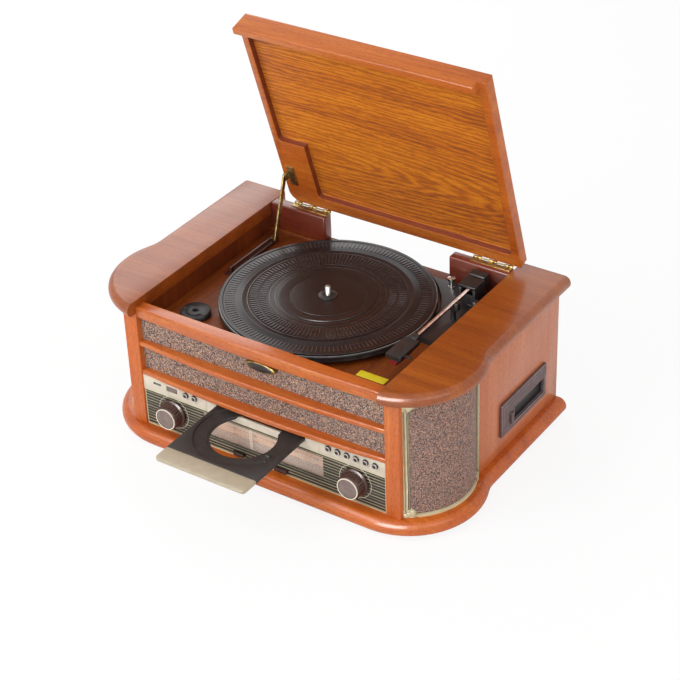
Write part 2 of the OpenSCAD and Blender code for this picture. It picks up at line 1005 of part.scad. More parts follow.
module cd_tray() {
    recess = 2.4;
    clip_r = tray_hole_d / 2 + 3;
    color(black)
        place()
            translate([0, 0, tray_z - tray_t]) {
                difference() {
                    span([-tray_w / 2, -tray_out, 0], [tray_w / 2, tray_l - tray_out, tray_t]);
                    translate([0, disc_y, tray_t - recess])
                        cylinder(h = recess + eps, r = disc_d / 2);
                    translate([0, disc_y, tray_t - recess - 1])
                        cylinder(h = recess + eps, r = clip_r);
                    translate([0, disc_y, -eps])
                        cylinder(h = tray_t + 2 * eps, r = tray_hole_d / 2);
                    span(
                        [-tray_slot_w / 2, disc_y, -eps],
                        [tray_slot_w / 2, tray_l - tray_out - 8, tray_t + eps]
                    );
                }
                // Small clip and stop for the smaller disc
                span([clip_r, disc_y - 18, tray_t - recess - 0.2], [clip_r + 6, disc_y - 14, tray_t - 0.6]);
                translate([clip_r + 6, disc_y - 26, tray_t - recess - 0.2])
                    cylinder(h = 1, r = 1.6);
            }
}

module tray_front() {
    front = -tray_out - tray_front_d;
    color(cream)
        place()
            translate([0, 0, tray_z - tray_t])
                linear_extrude(tray_t)
                    difference() {
                        translate([-tray_w / 2, front])
                            square([tray_w, tray_front_d]);
                        for (side = [-1, 1])
                            translate([side * tray_w / 2, front])
                                difference() {
                                    square(10, center = true);
                                    translate([-side * 5, 5])
                                        circle(5);
                                }
                    }
}

module cd_mechanism() {
    low = tray_z - tray_t - gap;
    high = tray_z + gap;
    spindle_y = disc_y + tray_travel;
    color(dark_wood)
        place() {
            both_sides()
                difference() {
                    span([guide_x - 8, guide_y0, low - 13], [guide_x + 6, guide_y1, high + 3.5]);
                    span([0, guide_y0 - eps, low], [guide_x, guide_y1 + eps, high]);
                    span([0, guide_y0 - eps, high - eps], [guide_x - 3, guide_y1 + eps, high + 4]);
                }
            span([8 - guide_x, guide_y0, low - 13], [guide_x - 8, guide_y1, low - 10]);
            translate([0, spindle_y, low - 10])
                cylinder(h = 6, r = 14);
            translate([0, spindle_y, low - 4])
                cylinder(h = 3, r = 8);
            for (x = [-60, 60], y = [guide_y0 + 36, guide_y1 - 12])
                translate([x, y, base_z])
                    cylinder(h = low - 13 - base_z, r = 5);
        }
}

// Record player

ring_r = 68;
ring_z = deck_z + 3;
platter_z = mat_z - mat_t;
pulley_r = 6;
module platter() {
    color(black)
        place()
            translate([platter_x, platter_y, 0]) {
                rotate_extrude($fn = 240)
                    polygon([
                        [0, platter_z - 3.5], [ring_r - 4, platter_z - 3.5], [ring_r - 4, ring_z],
                        [ring_r, ring_z], [ring_r, platter_z - 3.5],
                        [platter_r - 3, platter_z - 3.5], [platter_r - 3, platter_z - 8],
                        [platter_r - 1, platter_z - 8], [platter_r, platter_z - 7],
                        [platter_r, platter_z - 1], [platter_r - 1, platter_z], [0, platter_z]
                    ]);
                translate([0, 0, deck_z - 24])
                    cylinder(h = mat_z + spindle_h - 1.5 - deck_z + 24, r = spindle_d / 2);
                translate([0, 0, mat_z + spindle_h - 1.5])
                    cylinder(h = 1.5, r1 = spindle_d / 2, r2 = spindle_d / 2 - 1.5);
            }
}

module platter_mat() {
    color("#1f1d1c")
        place()
            translate([platter_x, platter_y, platter_z])
                rotate_extrude($fn = 240)
                    polygon([
                        [spindle_d / 2 + 0.1, 0], [platter_r - 2, 0], [platter_r - 2, mat_t],
                        [platter_r - 6, mat_t], [platter_r - 7, mat_t - 0.8], [60, mat_t - 0.8],
                        [59, mat_t], [48, mat_t], [47, mat_t - 0.8], [spindle_d / 2 + 0.1, mat_t - 0.8]
                    ]);
}

module platter_bearing() {
    color(chrome)
        place()
            translate([platter_x, platter_y, 0])
                difference() {
                    union() {
                        translate([0, 0, deck_z - 28])
                            cylinder(h = 28, r = bearing_r);
                        translate([0, 0, deck_z])
                            cylinder(h = 2, r = bearing_r + 8);
                    }
                    translate([0, 0, deck_z - 24 - gap])
                        cylinder(h = 40, r = spindle_d / 2 + fit);
                }
}

module motor() {
    color(chrome)
        place()
            translate([motor_x, motor_y, 0])
                difference() {
                    union() {
                        translate([0, 0, deck_z - deck_t - 26])
                            cylinder(h = 24, r = 15);
                        translate([0, 0, deck_z - deck_t - 2])
                            cylinder(h = 2, r = 20);
                        translate([0, 0, deck_z - deck_t])
                            cylinder(h = deck_t - 2, r = 4);
                    }
                    translate([0, 0, deck_z - 12])
                        cylinder(h = 20, r = 1.5 + fit);
                }
}

module motor_pulley() {
    color(brass)
        place()
            translate([motor_x, motor_y, 0]) {
                translate([0, 0, deck_z - 11])
                    cylinder(h = 13, r = 1.5);
                rotate_extrude()
                    polygon([
                        [0, ring_z - 1.5], [pulley_r + 1, ring_z - 1.5], [pulley_r + 1, ring_z - 0.5],
                        [pulley_r, ring_z], [pulley_r, ring_z + 6], [pulley_r + 1, ring_z + 6.5],
                        [pulley_r + 1, platter_z - 4], [0, platter_z - 4]
                    ]);
            }
}

// Points of the belt's outline around the platter's ring and the pulley
function belt_points(grow) = let (turn = acos((ring_r - pulley_r) / motor_reach)) concat(
    [for (a = [turn : 5 : 360 - turn]) (ring_r + grow) * [cos(a), sin(a)]],
    [(ring_r + grow) * [cos(turn), -sin(turn)]],
    [
        for (a = [-turn : 10 : turn])
            [motor_reach + (pulley_r + grow) * cos(a), (pulley_r + grow) * sin(a)]
    ],
    [[motor_reach + (pulley_r + grow) * cos(turn), (pulley_r + grow) * sin(turn)]]
);

belt_t = 0.8;
belt_gap = 0.35;
module drive_belt() {
    color("#1f1d1c")
        place()
            translate([platter_x, platter_y, ring_z + 1])
                rotate(motor_angle)
                    linear_extrude(4)
                        difference() {
                            polygon(belt_points(belt_gap + belt_t));
                            polygon(belt_points(belt_gap));
                        }
}

adapter_h = 10;
module adapter_45() {
    color(black)
        place()
            translate([adapter_x, adapter_y, deck_z - 3])
                difference() {
                    union() {
                        cylinder(h = adapter_h - 1, r = adapter_r);
                        translate([0, 0, adapter_h - 1])
                            cylinder(h = 1, r1 = adapter_r, r2 = adapter_r - 1);
                    }
                    translate([0, 0, -eps])
                        cylinder(h = adapter_h + 2 * eps, r = spindle_d / 2 + 0.15);
                    translate([0, 0, adapter_h - 2])
                        difference() {
                            cylinder(h = 2 + eps, r = adapter_r - 3);
                            translate([0, 0, -eps])
                                cylinder(h = 3 + eps, r = adapter_r - 8);
                            span([-adapter_r, -4, -eps], [adapter_r, adapter_r, 3]);
                        }
                }
}

// Tonearm

arm_plate_t = 2.5;
arm_post_r = 5;
arm_pin_r = 1.2;
arm_foot_z = arm_z - 17;
arm_rest_y = arm_y - 50;
module tonearm_base() {
    top = deck_z + arm_plate_t;
    color(black)
        place() {
            difference() {
                union() {
                    translate([0, 0, deck_z])
                        linear_extrude(arm_plate_t)
                            round_rect(arm_x - 29, arm_y - 88, arm_x + 29, arm_y + 19, 5);
                    translate([arm_x, arm_y, deck_z])
                        cylinder(h = arm_foot_z - deck_z, r = 15);
                }
                translate([arm_x, arm_y, top])
                    cylinder(h = 20, r = arm_post_r + fit);
            }
            // Arm rest, open on the side the arm swings to
            translate([arm_x, arm_rest_y, 0]) {
                translate([0, 0, top])
                    cylinder(h = arm_z - 8 - top, r = 3.5);
                span([-5, -4, arm_z - 8], [8, 4, arm_z - arm_d / 2 - gap]);
                span([arm_d / 2 + gap, -4, arm_z - arm_d / 2 - gap], [8, 4, arm_z + 3]);
            }
            // Cueing block
            span([arm_x + 17, arm_y - 42, top], [arm_x + 27, arm_y - 16, top + 9]);
        }
}

module arm_yoke() {
    color(black)
        place()
            translate([arm_x, arm_y, 0])
                difference() {
                    union() {
                        translate([0, 0, deck_z + arm_plate_t + gap])
                            cylinder(h = arm_foot_z - deck_z - arm_plate_t, r = arm_post_r);
                        translate([0, 0, arm_foot_z + gap])
                            cylinder(h = 2, r = 12);
                        for (side = [-1, 1])
                            translate([side * 9.6, 0, 0])
                                span([-1.5, -5, arm_foot_z + gap + 1], [1.5, 5, arm_z + 4]);
                    }
                    rod_x(0, arm_z, arm_pin_r + fit, -20, 20);
                }
}

module tonearm() {
    hub = 8.1 - gap;
    color(black)
        place()
            translate([arm_x, arm_y, arm_z]) {
                span([-hub, -6, -4], [hub, 6, 4.5]);
                rod_x(0, 0, arm_pin_r, -10.5, 10.5);
                rod_y(0, 0, arm_d / 2, -arm_reach + shell_l - 6, -5);
                rod_y(0, 0, 3, 5, 9);
                rod_y(0, 0, 11, 8, 20);
            }
}

module headshell() {
    tip = -arm_reach;
    back = -arm_reach + shell_l - 6;
    color(black)
        place()
            translate([arm_x, arm_y, arm_z]) {
                difference() {
                    rod_y(0, 0, 5, back - 4, back + 6);
                    rod_y(0, 0, arm_d / 2, back, back + 7);
                }
                span([-9, tip - 6, -1], [9, back - 3, 2]);
                for (side = [-1, 1])
                    translate([side * 8, 0, 0])
                        span([-1, tip - 6, -3.5], [1, back - 3, 0]);
                // Finger lift, cartridge and stylus
                span([8, tip + 2, -1], [17, tip + 5, 0.5]);
                span([-6.5, tip - 3, -8], [6.5, tip + 24, -1]);
                span([-3, tip - 5, -9.5], [3, tip + 8, -8]);
                translate([0, tip, arm_tip_z - arm_z])
                    cylinder(h = mat_z - arm_tip_z + 4, r1 = 0.3, r2 = 0.9);
            }
}
arm_tip_z = mat_z + 2.2;

// Lid, hinges and stay

module on_lid() {
    translate([0, pin_y, pin_z])
        rotate([-lid_open, 0, 0])
            children();
}

lid_rim = 20;
module lid() {
    top = lid_gap + lid_t;
    color(wood)
        place()
            on_lid()
                difference() {
                    intersection() {
                        // Outline seen from above, then the two rounded side profiles
                        translate([0, 0, -30])
                            linear_extrude(80)
                                union() {
                                    round_rect(lid_x0, -lid_l, lid_x1, -40, 4);
                                    round_rect(lid_x0, -120, lid_x1 - 30, -lid_gap, 16);
                                    round_rect(lid_x0 + 30, -120, lid_x1, -lid_gap, 2);
                                }
                        translate([lid_x0, 0, 0])
                            rotate([90, 0, 90])
                                linear_extrude(lid_x1 - lid_x0) {
                                    round_rect(-lid_l, lid_gap + 6, -lid_gap, top, 5);
                                    translate([-lid_l, lid_gap])
                                        square([lid_l - lid_gap, lid_t - 6]);
                                    round_rect(
                                        -lid_l, top_rail_z - pin_z + gap, front_lip_d - lid_l,
                                        lid_gap + 8, 2
                                    );
                                }
                        translate([0, -lid_gap, 0])
                            rotate([90, 0, 0])
                                linear_extrude(lid_l) {
                                    round_rect(lid_x0, lid_gap, lid_x1, top, 5);
                                    translate([lid_x0, lid_gap])
                                        square([lid_x1 - lid_x0, 8]);
                                    translate([lid_x0, top_rail_z - pin_z + gap])
                                        square([well_half - 1.5 - lid_x0, 14]);
                                }
                    }
                    // Hollow of the underside, wider in front of the stay
                    translate([0, 0, lid_gap - eps])
                        linear_extrude(lid_hollow + eps) {
                            round_rect(
                                lid_x0 + 9, lid_rim + 1 - lid_l, lid_x1 - 11, -110, 5
                            );
                            round_rect(lid_x0 + 48, -130, lid_x1 - 11, -lid_rim, 5);
                        }
                }
}

knuckle_l = 11;
knuckle_step = 22.5;
hinge_xs = [-block_x - hinge_l, well_half - 2 - hinge_l];
// Every knuckle group has a fixed half and a lid half on one pin
module hinge_leaves() {
    color(brass)
        place()
            for (x0 = hinge_xs)
                translate([x0, pin_y, pin_z]) {
                    span([0, -9, wing_top_z - pin_z], [hinge_l, -2.2, wing_top_z - pin_z + 1.2]);
                    rod_x(0, 0, hinge_pin_d / 2, 0, hinge_l);
                    for (i = [0 : 2])
                        translate([i * knuckle_step, 0, 0]) {
                            rod_x(0, 0, knuckle_r, 0, knuckle_l / 2 - gap / 2);
                            span(
                                [0, -2.5, wing_top_z - pin_z],
                                [knuckle_l / 2 - gap / 2, 0, wing_top_z - pin_z + 1.2]
                            );
                        }
                }
}

pivot_r = 1.6;
module lid_fittings() {
    color(brass)
        place()
            on_lid() {
                for (x0 = hinge_xs)
                    translate([x0, 0, 0]) {
                        span([0, -lid_gap, 2.2], [hinge_l, 0.4 - lid_gap + 0.6, 14]);
                        difference() {
                            for (i = [0 : 2])
                                translate([i * knuckle_step + knuckle_l / 2 + gap / 2, 0, 0]) {
                                    rod_x(0, 0, knuckle_r, 0, knuckle_l / 2 - gap / 2);
                                    span([0, -lid_gap, 0.8], [knuckle_l / 2 - gap / 2, -0.5, 3]);
                                }
                            rod_x(0, 0, hinge_pin_d / 2 + fit, -1, hinge_l + 1);
                        }
                    }
                // Bracket and pin that carry the stay
                translate([stay_x, -stay_up, lid_gap]) {
                    span([stay_t / 2 + 3.5, -16, -1.5], [stay_t / 2 + 14, 16, 0]);
                    span([stay_t / 2 + gap, -5, -stay_off - 3], [stay_t / 2 + 3.5, 5, 0]);
                    rod_x(0, -stay_off, pivot_r, -stay_t / 2 - 1.5, stay_t / 2 + 1);
                }
            }
}

// The stay's upper pivot when open, and its lower pin in the track
stay_top_y = pin_y + (lid_gap - stay_off) * cos(tilt) - stay_up * sin(tilt);
stay_top_z = pin_z + (lid_gap - stay_off) * sin(tilt) + stay_up * cos(tilt);
stay_lean = 26.9;
stay_low_y = stay_top_y - stay_lean;
stay_low_z = deck_z + stay_pin_up;
stay_l = sqrt(pow(stay_top_y - stay_low_y, 2) + pow(stay_top_z - stay_low_z, 2));
stay_angle = atan2(stay_top_z - stay_low_z, stay_top_y - stay_low_y);
module stay_bar() {
    color(brass)
        place()
            translate([stay_x - stay_t / 2, stay_low_y, stay_low_z])
                rotate([stay_angle, 0, 0]) {
                    rotate([90, 0, 90])
                        linear_extrude(stay_t)
                            difference() {
                                union() {
                                    circle(stay_w / 2);
                                    translate([stay_l, 0])
                                        circle(stay_w / 2);
                                    translate([0, -stay_w / 2])
                                        square([stay_l, stay_w]);
                                }
                                translate([stay_l, 0])
                                    circle(pivot_r + fit);
                            }
                    rod_x(0, 0, pivot_r, -5, 1);
                }
}

track_y0 = pin_y - stay_up - sqrt(pow(stay_l, 2) - pow(pin_z + lid_gap - stay_off - stay_low_z, 2));
track_slot = pivot_r + 1.6;
module stay_track() {
    x1 = stay_x - stay_t / 2 - 1;
    color(brass)
        place()
            difference() {
                union() {
                    span([x1 - 3, track_y0 - 10, deck_z], [x1, stay_low_y + 10, deck_z + 13]);
                    span([x1 - 12, track_y0 - 10, deck_z], [x1, stay_low_y + 10, deck_z + 1.5]);
                }
                span(
                    [x1 - 4, track_y0 - 4, stay_low_z - track_slot],
                    [x1 + eps, stay_low_y + 4, stay_low_z + track_slot]
                );
            }
}

// Cassette slot

eject_y = tape_y + 25.5;
eject_h = 15;
module cassette_bezel() {
    color(brown)
        place()
            difference() {
                translate([side_x, 0, 0]) {
                    rotate([90, 0, 90])
                        linear_extrude(3)
                            round_rect(tape_y, tape_z, tape_y + tape_l, tape_z + tape_h, 3);
                }
                translate([side_x, tape_open_y, tape_open_z])
                    span([-eps, 0, 0], [3 + eps, tape_slot_w, tape_slot_h]);
                // Stepped lips around the opening
                translate([side_x + 1.5, tape_open_y, tape_open_z])
                    span([0, -2.5, -2.5], [3, tape_slot_w + 2.5, tape_slot_h + 2.5]);
                translate([side_x, eject_y, tape_open_z])
                    span([-eps, -3.5 - fit, 1.5 - fit], [3 + eps, 3.5 + fit, 1.5 + eject_h + fit]);
            }
}

deck_wall = 4;
mech_x0 = side_x - 106;
module cassette_mechanism() {
    y1 = tape_open_y + tape_slot_w;
    z1 = tape_open_z + tape_slot_h;
    color(dark_wood)
        place() {
            difference() {
                span(
                    [mech_x0, tape_open_y - deck_wall, tape_open_z - deck_wall],
                    [side_x, y1 + deck_wall, z1 + deck_wall]
                );
                span([mech_x0 + 4, tape_open_y, tape_open_z], [side_x + eps, y1, z1]);
                rod_y(side_x - 2, z1 - 2, 1 + fit, tape_open_y - 2, y1 + 2);
            }
            // Capstan, two reel hubs and the posts below
            for (y = [tape_open_y + 14, y1 - 14])
                translate([mech_x0 + 45, y, tape_open_z])
                    cylinder(h = 3, r = 5);
            for (x = [mech_x0 + 8, side_x - side_t - 14], y = [tape_open_y + 6, y1 - 6])
                translate([x, y, base_z])
                    cylinder(h = tape_open_z - deck_wall - base_z, r = 5);
        }
}

module cassette_flap() {
    hinge_z = tape_open_z + tape_slot_h - 2;
    y1 = tape_open_y + tape_slot_w;
    color(brown)
        place() {
            span(
                [side_x - 2.8, tape_open_y + gap, tape_open_z + gap],
                [side_x - 1.2, y1 - gap, hinge_z]
            );
            rod_y(side_x - 2, hinge_z, 1.5, tape_open_y + gap, y1 - gap);
            rod_y(side_x - 2, hinge_z, 1, tape_open_y - 1.8, y1 + 1.8);
        }
}

module eject_button() {
    color(brown)
        place()
            translate([side_x, eject_y, tape_open_z]) {
                span([-2, -3.5, 1.5], [5, 3.5, 1.5 + eject_h]);
                span([-3, -3.5, -0.5], [-0.2, 3.5, 3.5 + eject_h]);
            }
}

base_board();
rubber_feet();
side_panel_left();
side_panel_right();
wing_left();
wing_right();
inner_walls();
front_posts();
top_rail();
front_rails();
back_rail();
hinge_blocks();
back_panel();
deck_board();
front_cloth();
corner_grilles();
corner_trims();
speakers();
control_strip();
tuner_panel();
dial_scale();
windows();
dial_pointer();
tuning_knob();
volume_knob();
button_1();
button_2();
button_3();
button_4();
button_5();
button_6();
button_7();
button_8();
band_slider();
function_slider();
usb_socket();
cd_tray();
tray_front();
cd_mechanism();
platter();
platter_mat();
platter_bearing();
motor();
motor_pulley();
drive_belt();
tonearm_base();
arm_yoke();
tonearm();
headshell();
lid();
hinge_leaves();
lid_fittings();
stay_bar();
stay_track();
cassette_bezel();
cassette_mechanism();
cassette_flap();
eject_button();
adapter_45();
electronics();
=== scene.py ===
import bpy
import math
from mathutils import Matrix, Vector
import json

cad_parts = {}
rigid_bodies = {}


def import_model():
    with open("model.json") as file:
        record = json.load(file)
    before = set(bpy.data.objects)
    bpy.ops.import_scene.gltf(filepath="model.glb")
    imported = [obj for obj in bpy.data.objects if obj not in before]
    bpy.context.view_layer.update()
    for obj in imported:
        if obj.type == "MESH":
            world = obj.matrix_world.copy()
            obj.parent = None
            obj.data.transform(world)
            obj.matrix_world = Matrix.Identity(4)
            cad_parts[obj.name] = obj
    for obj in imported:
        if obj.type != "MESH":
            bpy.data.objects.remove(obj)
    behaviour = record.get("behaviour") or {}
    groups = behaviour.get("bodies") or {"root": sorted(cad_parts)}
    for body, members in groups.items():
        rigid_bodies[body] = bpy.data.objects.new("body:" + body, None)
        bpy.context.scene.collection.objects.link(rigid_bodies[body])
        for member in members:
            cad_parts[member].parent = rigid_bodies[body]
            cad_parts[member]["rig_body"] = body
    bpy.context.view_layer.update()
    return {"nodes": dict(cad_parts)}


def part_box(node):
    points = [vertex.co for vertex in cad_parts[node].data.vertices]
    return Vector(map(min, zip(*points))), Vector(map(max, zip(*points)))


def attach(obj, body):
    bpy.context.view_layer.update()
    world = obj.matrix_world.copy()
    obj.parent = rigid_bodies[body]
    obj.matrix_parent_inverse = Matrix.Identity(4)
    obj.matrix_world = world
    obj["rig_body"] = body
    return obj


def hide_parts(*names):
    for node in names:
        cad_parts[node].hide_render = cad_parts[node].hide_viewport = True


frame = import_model()
mm = 0.001
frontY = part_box("front_posts")[0].y  # front face of the two front posts
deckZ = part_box("deck_board")[1].z / mm
lidOpen = 72.5  # degrees that the lid stands open at rest
print("frame loaded")


def spot(x, y, z):
    # millimetres, with y counted back from the front posts
    return Vector((x * mm, frontY + y * mm, z * mm))


def only(piece):
    bpy.ops.object.select_all(action="DESELECT")
    piece.select_set(True)
    bpy.context.view_layer.objects.active = piece


def finish(piece, name, body, materials, smooth=40):
    # the finished piece sits at the origin with its place in its mesh
    only(piece)
    bpy.ops.object.transform_apply(location=True, rotation=True, scale=True)
    bpy.ops.object.shade_smooth_by_angle(angle=math.radians(smooth))
    piece.name = name
    piece.data.name = name
    piece.data.materials.clear()
    for material in materials:
        piece.data.materials.append(material)
    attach(piece, body)
    return piece


# Colours and nodes

def shade(hexColour):
    # sRGB hex to the linear values that the sockets take
    values = [int(hexColour[i:i + 2], 16) / 255 for i in (1, 3, 5)]
    linear = [v / 12.92 if v <= 0.04045 else ((v + 0.055) / 1.055) ** 2.4 for v in values]
    return (*linear, 1.0)


def addNode(tree, kind, settings=None, links=None):
    # settings name a property or an input; links give an input its source socket
    node = tree.nodes.new(kind)
    for key, value in (settings or {}).items():
        if isinstance(key, int) or key in node.inputs:
            node.inputs[key].default_value = value
        else:
            setattr(node, key, value)
    for key, source in (links or {}).items():
        tree.links.new(source, node.inputs[key])
    return node


def ramp(tree, factor, stops):
    node = addNode(tree, "ShaderNodeValToRGB", links={"Fac": factor})
    while len(node.color_ramp.elements) < len(stops):
        node.color_ramp.elements.new(0.5)
    for element, (position, colour) in zip(node.color_ramp.elements, stops):
        element.position = position
        element.color = shade(colour)
    return node.outputs["Color"]


def newMaterial(name, **settings):
    material = bpy.data.materials.new(name)
    material.use_nodes = True
    tree = material.node_tree
    shader = tree.nodes["Principled BSDF"]
    for key, value in settings.items():
        shader.inputs[key.replace("_", " ")].default_value = value
    coords = addNode(tree, "ShaderNodeTexCoord").outputs["Object"]
    return material, tree, shader, coords


def stretched(tree, coords, sizes, shift=(0, 0, 0)):
    # coordinates divided by the feature's size in millimetres along each axis
    return addNode(tree, "ShaderNodeMapping", {
        "Location": shift,
        "Scale": tuple(1 / (s * mm) for s in sizes),
    }, {"Vector": coords}).outputs["Vector"]


def softNoise(tree, coords, sizes, detail=3.0, **more):
    return addNode(tree, "ShaderNodeTexNoise", {"Scale": 1.0, "Detail": detail, **more}, {
        "Vector": stretched(tree, coords, sizes)}).outputs["Fac"]


def multiplied(tree, share, first, second):
    return addNode(tree, "ShaderNodeMix", {
        "data_type": "RGBA", "blend_type": "MULTIPLY", 0: share}, {6: first, 7: second}).outputs[2]


def colourBy(tree, shader, colour):
    tree.links.new(colour, shader.inputs["Base Color"])


def heightOf(tree, coords):
    return addNode(tree, "ShaderNodeSeparateXYZ", {}, {"Vector": coords}).outputs["Z"]


def addBump(tree, shader, height, depth, strength):
    bump = addNode(tree, "ShaderNodeBump", {"Strength": strength, "Distance": depth * mm},
                   {"Height": height})
    tree.links.new(bump.outputs["Normal"], shader.inputs["Normal"])


# Wood: mahogany-stained veneer under satin lacquer, sliced along the grain
veneerLook = dict(
    bandWidth=30, bandLength=420, streakWidth=4.2, streakLength=130,
    lineWidth=1.5, lineLength=38, poreWidth=0.9, poreLength=7, poreDepth=0.02, lacquerRoughness=0.2)


def stainedVeneer(name, grain, dark, middle, light, lacquer, turn=(0, 0, 0), figure=None):
    # warm translucent stain: soft streaks along the grain and short pores under a clear coat;
    # real pores are 0.2 mm wide and are drawn 0.9 mm wide so that they show
    look = veneerLook
    material, tree, shader, coords = newMaterial(
        name, Roughness=0.45, Specular_IOR_Level=0.25, Coat_Weight=lacquer,
        Coat_Roughness=look["lacquerRoughness"], Coat_IOR=1.5)

    def along(width, length):
        return tuple(length if axis == grain else width for axis in "xyz")

    def grainNoise(width, length, detail):
        return softNoise(tree, rotated, along(look[width], look[length]), detail, Roughness=0.6)

    def blended(share, first, second):
        return addNode(tree, "ShaderNodeMix", {"data_type": "FLOAT", 0: share},
                       {2: first, 3: second}).outputs[0]

    rotated = addNode(tree, "ShaderNodeMapping", {
        "vector_type": "POINT", "Rotation": tuple(math.radians(a) for a in turn),
    }, {"Vector": coords}).outputs["Vector"]
    streaks = grainNoise("streakWidth", "streakLength", 3.0)
    lines = grainNoise("lineWidth", "lineLength", 2.0)
    pores = grainNoise("poreWidth", "poreLength", 1.0)
    blend = blended(0.55, grainNoise("bandWidth", "bandLength", 2.0), blended(0.5, streaks, lines))
    if figure:
        # cathedral figure: nested arches round a point on the board, broken up by the lines
        arches = addNode(tree, "ShaderNodeTexWave", {
            "wave_type": "RINGS", "rings_direction": "SPHERICAL", "wave_profile": "SIN",
            "Scale": 1.0, "Distortion": figure["waver"], "Detail": 3.0,
            "Detail Scale": figure["waverScale"], "Detail Roughness": 0.65,
        }, {"Vector": stretched(tree, rotated, figure["sizes"], shift=figure["shift"])}).outputs["Fac"]
        blend = blended(figure["share"], blend, arches)
    tone = ramp(tree, blend, [(0.34, dark), (0.5, middle), (0.66, light)])
    poreMask = ramp(tree, pores, [(0.34, "#a88a78"), (0.44, "#ffffff")])
    colourBy(tree, shader, multiplied(tree, 0.45, tone, poreMask))
    addBump(tree, shader, pores, look["poreDepth"], 0.3)
    return material


lidTurn = (lidOpen, 0, 0)
wingVeneer = stainedVeneer("stainedVeneerWing", "x", "#7d370a", "#96480c", "#ac5a14", 0.6)
baseVeneer = stainedVeneer("stainedVeneerBase", "x", "#9c4308", "#c0580c", "#d46e14", 0.55)
sideVeneer = stainedVeneer("stainedVeneerSide", "z", "#b15f35", "#c06c3e", "#ca784a", 0.7)
railWood = stainedVeneer("stainedRailWood", "x", "#ac4c12", "#c4621e", "#d68032", 0.5)
postWood = stainedVeneer("stainedPostWood", "z", "#b45114", "#c96522", "#d47c34", 0.35)
# deck and back rail: dark stain, partly painted shade of the well round the platter
deckStainAndShadeVeneer = stainedVeneer("stainedAndShadedVeneerDeck", "y", "#5a2606", "#743509", "#8a4610", 0.12)
blockWood = stainedVeneer("stainedBlockWood", "x", "#521907", "#74290f", "#8a3818", 0.6)
lidEdgeVeneer = stainedVeneer("stainedLidEdge", "x", "#a14b0c", "#be5f13", "#d07620", 0.4, lidTurn)
lidStepVeneer = stainedVeneer("stainedLidStep", "x", "#5e220b", "#7a3212", "#8e4219", 0.4, lidTurn)
lidPanelVeneer = stainedVeneer(
    "stainedOakLidPanel", "x", "#9c5020", "#cc7018", "#e28c22", 0.22, lidTurn,
    figure=dict(sizes=(130, 19, 1000), shift=(0.6, 12.6, 0.0), waver=9.0, waverScale=1.6, share=0.19))
innerBoard = stainedVeneer("darkInnerBoard", "z", "#4c1c04", "#6a2c08", "#86400f", 0.25)


# Cloth: acoustic grille cloth, woven from brown and cream yarn
def grilleCloth(name, dark, middle, light, cool, yarn):
    # two-tone weave with grey-mauve threads among the brown, matte, faint sheen on the raised yarns;
    # real yarn is 0.5 mm and is drawn twice as wide so that it shows
    material, tree, shader, coords = newMaterial(name, Roughness=0.85, Sheen_Weight=0.12)
    speckle = addNode(tree, "ShaderNodeTexVoronoi", {"Scale": 1.0, "Randomness": 0.95}, {
        "Vector": stretched(tree, coords, (yarn, yarn, yarn))})
    cells = addNode(tree, "ShaderNodeSeparateColor", {}, {"Color": speckle.outputs["Color"]})
    tone = ramp(tree, cells.outputs["Red"], [(0.1, dark), (0.45, middle), (0.85, light)])
    coolTone = ramp(tree, cells.outputs["Red"], [(0.1, dark), (0.85, cool)])
    pick = ramp(tree, cells.outputs["Green"], [(0.5, "#000000"), (0.62, "#ffffff")])
    colour = addNode(tree, "ShaderNodeMix", {"data_type": "RGBA"}, {0: pick, 6: tone, 7: coolTone})
    colourBy(tree, shader, colour.outputs[2])
    addBump(tree, shader, speckle.outputs["Distance"], 0.3, 0.5)
    return material


frontCloth = grilleCloth("frontGrilleCloth", "#2a1917", "#7c4c34", "#c9a380", "#9c8985", 1.05)
cornerCloth = grilleCloth("cornerGrilleCloth", "#33201c", "#85553f", "#bd9078", "#8b7670", 0.95)


# Plastics
def mouldedPlastic(name, colour, mottled, roughness, grit=1.2, **more):
    # ABS moulding: near-even colour, fine grit and a soft highlight
    material, tree, shader, coords = newMaterial(name, Roughness=roughness, IOR=1.5, **more)
    drift = softNoise(tree, coords, (9, 9, 9))
    colourBy(tree, shader, ramp(tree, drift, [(0.35, colour), (0.7, mottled)]))
    grain = softNoise(tree, coords, (grit, grit, grit), 2.0)
    addBump(tree, shader, grain, 0.02, 0.4)
    return material


creamAbs = mouldedPlastic("creamAbs", "#cfc4b1", "#dad0bd", 0.38)
trayFrontAbs = mouldedPlastic("beigeAbs", "#b3a58d", "#beb098", 0.45)
blackAbs = mouldedPlastic("blackAbs", "#1d1b1c", "#272425", 0.42)
trayAbs = mouldedPlastic("satinBlackAbs", "#2a2624", "#332e2c", 0.5)
brownAbs = mouldedPlastic("darkBrownAbs", "#3b1f17", "#4a2a20", 0.28)
capAbs = mouldedPlastic("blackBrownAbs", "#1d1310", "#281a16", 0.3)
taupeAbs = mouldedPlastic("taupeAbs", "#75615c", "#86736d", 0.38)
bezelAbs = mouldedPlastic("brownGreyAbs", "#554143", "#66504f", 0.3)
# lighter grey for the bezel's step lines: painted highlights on the moulded steps
stepHighlightAbs = mouldedPlastic("stepHighlightGreyAbs", "#8b7574", "#a08a88", 0.25)
# grey-white rings on the buttons: painted highlight rings of the domed caps
buttonHighlightRing = mouldedPlastic("buttonHighlightGreyWhite", "#c9bcb4", "#ddd2cb", 0.25)
redAbs = mouldedPlastic("redAbs", "#8a1218", "#9c1a20", 0.3)
ivoryPaint = mouldedPlastic("ivoryPaint", "#eadfc9", "#f0e6d2", 0.35)
yellowVinyl = mouldedPlastic("yellowVinyl", "#e6d21c", "#efdd33", 0.4)
matRubber = mouldedPlastic(
    "blackMatRubber", "#171011", "#201617", 0.32, grit=0.9, Specular_IOR_Level=0.36)
